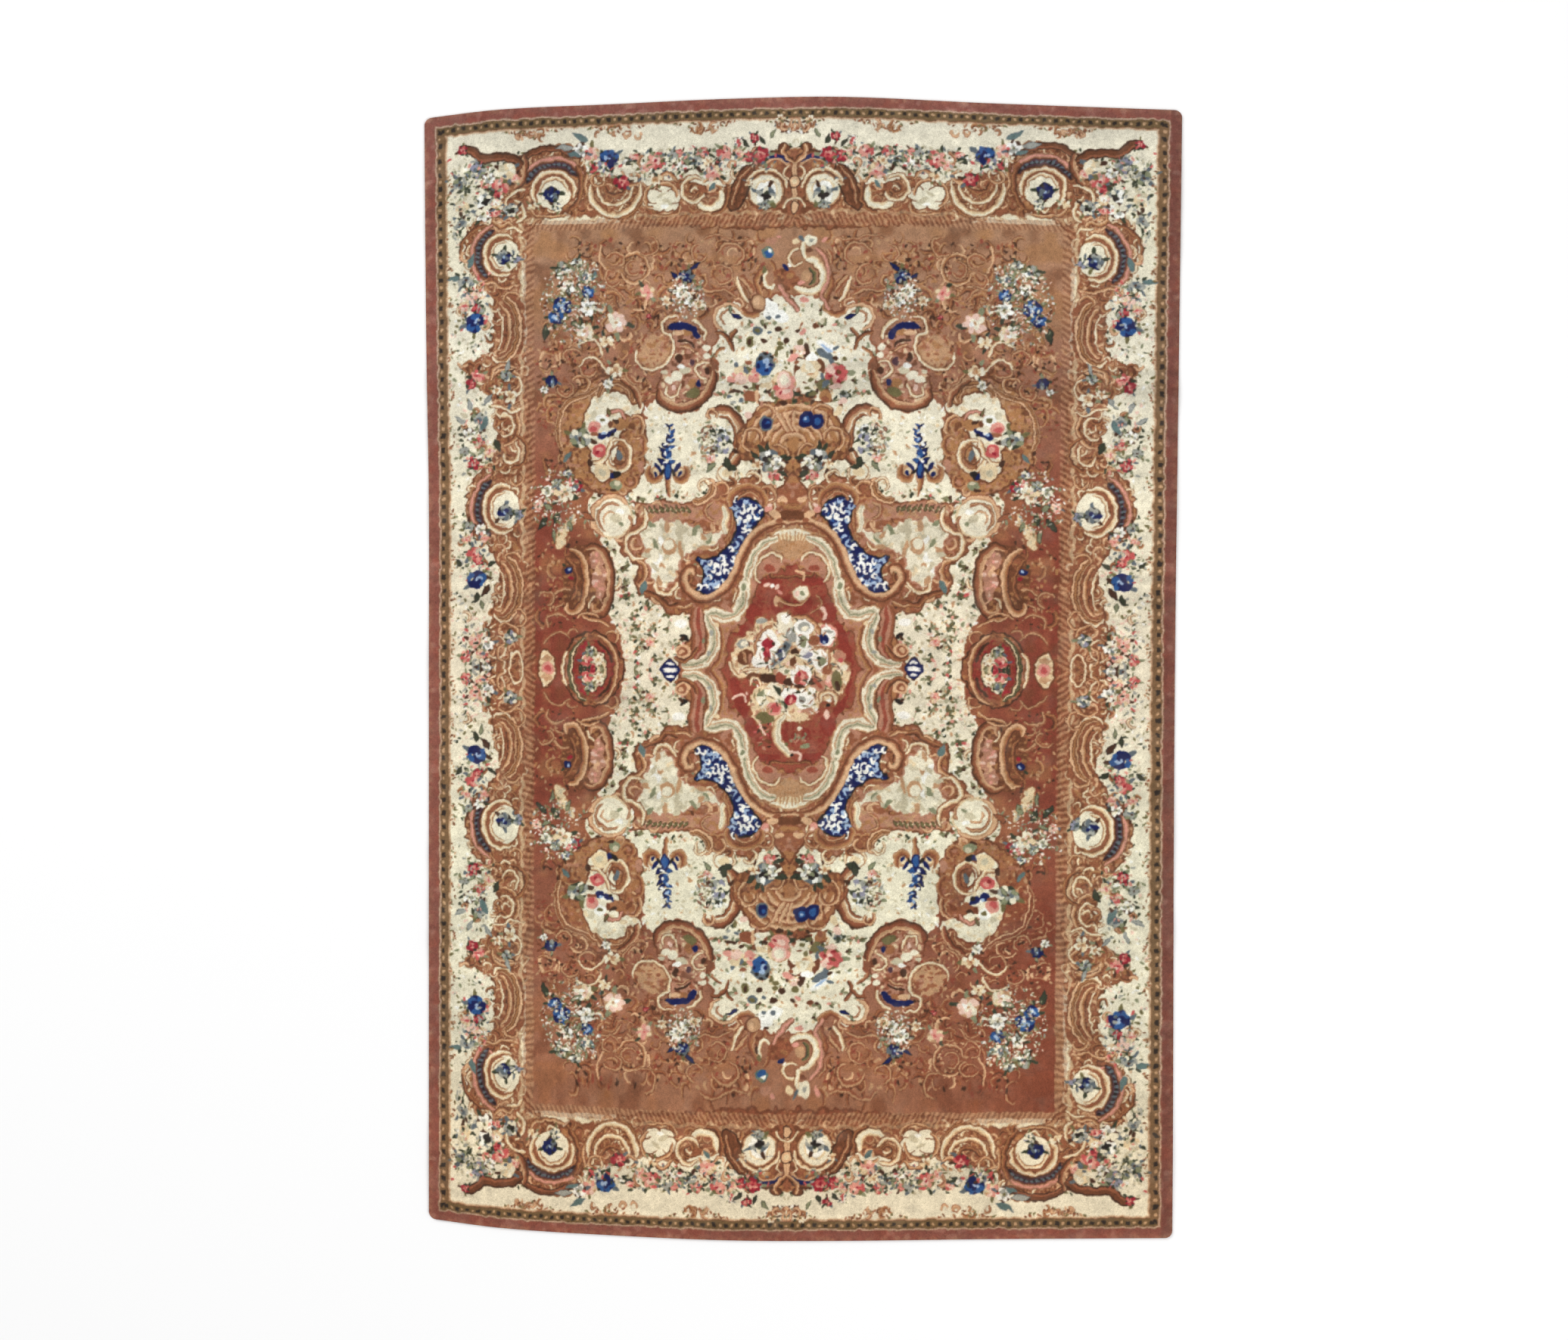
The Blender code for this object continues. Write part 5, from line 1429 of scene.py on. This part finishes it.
# The weaver's order: the tufts never stand quite where the paper has them, neighbours mix, each dye lot
# across the carpet differs a little, and age has dulled and yellowed the near end.
rows, columns = full.shape[:2]
along_q = (np.arange(rows) + 0.5) * CELL - PATTERN_LENGTH / 2
across_p = (np.arange(columns) + 0.5) * CELL - PATTERN_WIDTH / 2

# the near half of the field is redder, most of all at its sides
NEAR_RED = np.array((128, 66, 50), np.float32)
redder = np.clip((-along_q - 0.9) / 0.4, 0, 1)[:, None]
redder = redder * np.interp(across_p, (-1.4, -0.6, 0.5, 1.4), (0.35, 0.22, 0.28, 0.85))
redder = redder * (np.abs(across_p) < 1.395) * (np.abs(along_q) < 2.37)[:, None]
redder = redder * np.clip((full[..., 0] - full[..., 2] - 40) / 30, 0, 1)
full += redder[..., None] * (NEAR_RED - full) * (full[..., :1] < 175)

# tufts out of place, and neighbours that mix
shift = [
    0.0034 * clouds(full.shape, 0.026, 101 + k) + 0.0014 * clouds(full.shape, 0.010, 103 + k)
    for k in (0, 1)
]
at_row = np.clip(np.arange(rows)[:, None] + np.rint(shift[0] / CELL), 0, rows - 1).astype(int)
at_column = np.clip(np.arange(columns)[None, :] + np.rint(shift[1] / CELL), 0, columns - 1).astype(int)
woven = full[at_row, at_column]
for axis in (0, 1):
    woven = (np.roll(woven, 1, axis) + 2 * woven + np.roll(woven, -1, axis)) / 4

DYE_LOTS = (  # place along the carpet, and how the wool there has taken or kept red, green and blue
    (-3.05, (1.03, 0.99, 0.94)), (-2.4, (1.03, 1.0, 0.95)), (-2.0, (1.03, 1.03, 1.01)),
    (-1.0, (1.02, 1.03, 1.01)), (0.0, (1.02, 1.0, 0.98)), (1.0, (1.02, 1.02, 1.01)),
    (1.8, (1.02, 1.03, 1.04)), (2.4, (1.0, 1.01, 1.0)), (3.05, (0.99, 1.0, 1.02)),
)
places = [q for q, _ in DYE_LOTS]
lots = np.stack([np.interp(along_q, places, [lot[k] for _, lot in DYE_LOTS]) for k in range(3)], axis=-1)
grain = np.random.default_rng(113).standard_normal((rows, columns)).astype(np.float32) * 0.022


def unevenness(sizes):
    """Shading in soft patches of each size, seed and strength."""
    return sum(clouds((rows, columns), size, seed) * strength for size, seed, strength in sizes)


streaks = unevenness(((0.02, 111, 0.012), (0.09, 112, 0.018)))[:, :1]
patches = unevenness(((0.009, 116, 0.032), (0.035, 114, 0.028), (0.25, 115, 0.020)))
# painted shade: darker rows across the carpet along its old creases, where the folds throw their shade
CREASE_SHADE_ROWS = (  # place along the carpet, half its width, and how dark it is at its left and right end
    (2.69, 0.02, 0.0, 0.06), (1.62, 0.015, 0.03, 0.10), (1.52, 0.03, 0.02, 0.10), (1.06, 0.025, 0.07, 0.05),
    (0.50, 0.02, 0.05, 0.08), (0.37, 0.02, 0.07, 0.06), (0.27, 0.012, 0.02, 0.04),
    (-0.27, 0.012, 0.03, 0.02), (-1.45, 0.02, 0.07, 0.03), (-1.95, 0.02, 0.02, 0.06),
    (-2.32, 0.03, 0.05, 0.05), (-2.70, 0.025, 0.04, 0.04),
)
HALF_ACROSS = PATTERN_WIDTH / 2
crease_shade = sum(
    np.exp(-((along_q - q) / half_width) ** 2)[:, None]
    * np.interp(across_p, (-HALF_ACROSS, HALF_ACROSS), (left, right))
    for q, half_width, left, right in CREASE_SHADE_ROWS
)

# the rubbed edge, the darker outer band on the right, and the whole order with its wear and the painted
# crease shade
RUBBED_WIDE, CONTRAST, RIGHT_BAND = 0.035, 1.10, 1.935
woven = 128 + CONTRAST * (woven - 128)
from_side, from_end = HALF_ACROSS - np.abs(across_p), PATTERN_LENGTH / 2 - np.abs(along_q)
from_edge = np.minimum(from_side[None, :], from_end[:, None])
rubbed = np.clip(1 - from_edge / RUBBED_WIDE, 0, 1)
rubbed = rubbed * np.clip(0.45 + 0.5 * clouds((rows, columns), 0.02, 117), 0, 1)
woven += 0.45 * rubbed[..., None] * (YARN["tan"] - woven)
# the outer band on the right is darker
woven[:, across_p > RIGHT_BAND] *= 0.88
woven = (0.925 * woven + 4) * lots[:, None, :] * (1 + streaks + grain + patches - crease_shade)[..., None]


# the pattern's middle lies a little off the middle of each edge, its rows drift up to the left, and the
# near half of the field is beaten closer
OFF_NEAR, OFF_FAR, OFF_LEFT, OFF_RIGHT = -0.039, -0.021, -0.017, 0.012
DRIFT = ((-0.85, 0.018), (-0.3, 0.0065), (0.0, 0.0), (0.3, 0.0), (0.85, -0.0065))
PACKED = ((-0.775, 0.0), (-0.72, 0.020), (-0.62, 0.020), (-0.5, 0.011), (-0.3, 0.011), (-0.1, 0.0))


def yarn_order(across, along):
    """The yarn's colour, in linear light, at shares across and along the carpet."""
    middle_x = OFF_NEAR + (OFF_FAR - OFF_NEAR) * (along + 1) / 2
    middle_y = OFF_LEFT + (OFF_RIGHT - OFF_LEFT) * (across + 1) / 2
    u, v = across - (1 - across**2) * middle_x, along - (1 - along**2) * middle_y
    drift = np.interp(u, [place for place, _ in DRIFT], [run for _, run in DRIFT])
    v -= drift * np.clip((0.85 - np.abs(v)) / 0.13, 0, 1)
    packed = np.interp(v, [place for place, _ in PACKED], [pull for _, pull in PACKED])
    v -= packed * np.clip((0.73 - np.abs(u)) / 0.04, 0, 1)
    x = ((u + 1) / 2 * columns - 0.5).clip(0, columns - 1.001)
    y = ((v + 1) / 2 * rows - 0.5).clip(0, rows - 1.001)
    i, j = x.astype(int), y.astype(int)
    s, t = (x - i)[:, None], (y - j)[:, None]
    near = woven[j, i] * (1 - s) + woven[j, i + 1] * s
    far = woven[j + 1, i] * (1 - s) + woven[j + 1, i + 1] * s
    shade = np.clip((near * (1 - t) + far * t) / 255, 0, 1)
    return np.where(shade <= 0.04045, shade / 12.92, ((shade + 0.055) / 1.055) ** 2.4)


def dyed_wool():
    """Cut wool pile: the yarn's own colour with the grain of the tufts, painted lighter at their middles and
    darker in the gaps between them, rubbed in patches; soft sheen.
    """
    material = bpy.data.materials.new("pile_wool_dyed")
    material.use_nodes = True
    nodes, links = material.node_tree.nodes, material.node_tree.links
    shader = nodes["Principled BSDF"]
    shader.inputs["Sheen Weight"].default_value = 0.08
    shader.inputs["Sheen Roughness"].default_value = 0.6
    shader.inputs["Specular IOR Level"].default_value = 0.1
    yarn = nodes.new("ShaderNodeAttribute")
    yarn.attribute_name = "yarn"
    place = nodes.new("ShaderNodeTexCoord")
    tufts = nodes.new("ShaderNodeGroup")
    tufts.node_tree = fibres
    for socket, value in (
        ("Strands per metre", 220.0), ("Strand shading", 0.45), ("Dye unevenness", 0.35), ("Wear", 0.10),
    ):
        tufts.inputs[socket].default_value = value
    raised = nodes.new("ShaderNodeBump")
    raised.inputs["Strength"].default_value = 0.5
    raised.inputs["Distance"].default_value = 0.002
    links.new(place.outputs["Object"], tufts.inputs["Place"])
    links.new(yarn.outputs["Color"], tufts.inputs["Yarn"])
    links.new(tufts.outputs["Colour"], shader.inputs["Base Color"])
    links.new(tufts.outputs["Roughness"], shader.inputs["Roughness"])
    links.new(tufts.outputs["Height"], raised.inputs["Height"])
    links.new(raised.outputs["Normal"], shader.inputs["Normal"])
    return material

# The pile: cut woollen tufts standing 10 mm above the floor, which hold the pattern. It is one piece of
# weaving; it is modelled as seven sheets that meet edge to edge, four for the border with its sides
# turned down at the carpet's edge, and three strips for the field.
CELLS_ACROSS = 552
CELLS_ALONG = 856
SHOULDER = 0.003


def spread(cells, half):
    """Shares of the grid lines: the turned-down edge, its rounded shoulder, and even steps between."""
    inner = 1 - SHOULDER / half
    even = np.linspace(-inner, inner, cells - 5)
    rim = np.array([-1.0, -1.0, -1.0 + 0.3 * SHOULDER / half])
    return np.concatenate([rim, even, -rim[::-1]])


lines_across = spread(CELLS_ACROSS, HALF_WIDTH)
lines_along = spread(CELLS_ALONG, HALF_LENGTH)
END, SIDE, STRIP = 98, 77, 133  # cells in an end border, a side border, and a strip of the field
FAR, RIGHT = CELLS_ALONG - END, CELLS_ACROSS - SIDE
PILE_SHEETS = (
    ("pile_near_border", 0, CELLS_ACROSS, 0, END),
    ("pile_far_border", 0, CELLS_ACROSS, FAR, CELLS_ALONG),
    ("pile_left_border", 0, SIDE, END, FAR),
    ("pile_right_border", RIGHT, CELLS_ACROSS, END, FAR),
    ("pile_field_left", SIDE, SIDE + STRIP, END, FAR),
    ("pile_field_middle", SIDE + STRIP, RIGHT - STRIP, END, FAR),
    ("pile_field_right", RIGHT - STRIP, RIGHT, END, FAR),
)
UNEVENNESS = 0.0005
pile_unevenness = np.random.default_rng(17).standard_normal((CELLS_ALONG + 1, CELLS_ACROSS + 1))
wool = dyed_wool()
for name, first_x, last_x, first_y, last_y in PILE_SHEETS:
    bpy.ops.object.select_all(action="DESELECT")
    bpy.ops.mesh.primitive_grid_add(x_subdivisions=last_x - first_x, y_subdivisions=last_y - first_y, size=2)
    pile = bpy.context.object
    pile.name = pile.data.name = name
    step_x, step_y = shares_of(pile.data)
    column = np.rint(first_x + (step_x + 1) / 2 * (last_x - first_x)).astype(int)
    row = np.rint(first_y + (step_y + 1) / 2 * (last_y - first_y)).astype(int)
    across, along = rounded(lines_across[column], lines_along[row])
    x, y = laid_out(across, along)
    ring = np.minimum(np.minimum(column, CELLS_ACROSS - column), np.minimum(row, CELLS_ALONG - row))
    heights = (CLOTH_THICKNESS * 0.25, THICKNESS - SHOULDER, THICKNESS - 0.3 * SHOULDER, THICKNESS)
    stand = np.array(heights)[np.minimum(ring, 3)]
    uneven = UNEVENNESS * pile_unevenness[row, column] * (ring > 3)
    move_points(pile.data, x, y, lift(y, across, along) + stand + uneven)

    corner_points = np.empty(len(pile.data.loops), int)
    pile.data.loops.foreach_get("vertex_index", corner_points)
    corners = corner_points.reshape(-1, 4)
    a, b = lines_across[column][corners], lines_along[row][corners]
    a = (a + a.mean(axis=1, keepdims=True)) / 2
    b = (b + b.mean(axis=1, keepdims=True)) / 2
    colours = np.ones((corners.size, 4), np.float32)
    colours[:, :3] = yarn_order(a.ravel(), b.ravel())
    yarn = pile.data.color_attributes.new("yarn", "FLOAT_COLOR", "CORNER")
    yarn.data.foreach_set("color", colours.ravel())
    pile.data.materials.append(wool)
    bpy.ops.object.shade_smooth()
    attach(pile, "root")
    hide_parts("carpet")
    width = (lines_across[last_x] - lines_across[first_x]) * HALF_WIDTH
    length = (lines_along[last_y] - lines_along[first_y]) * HALF_LENGTH
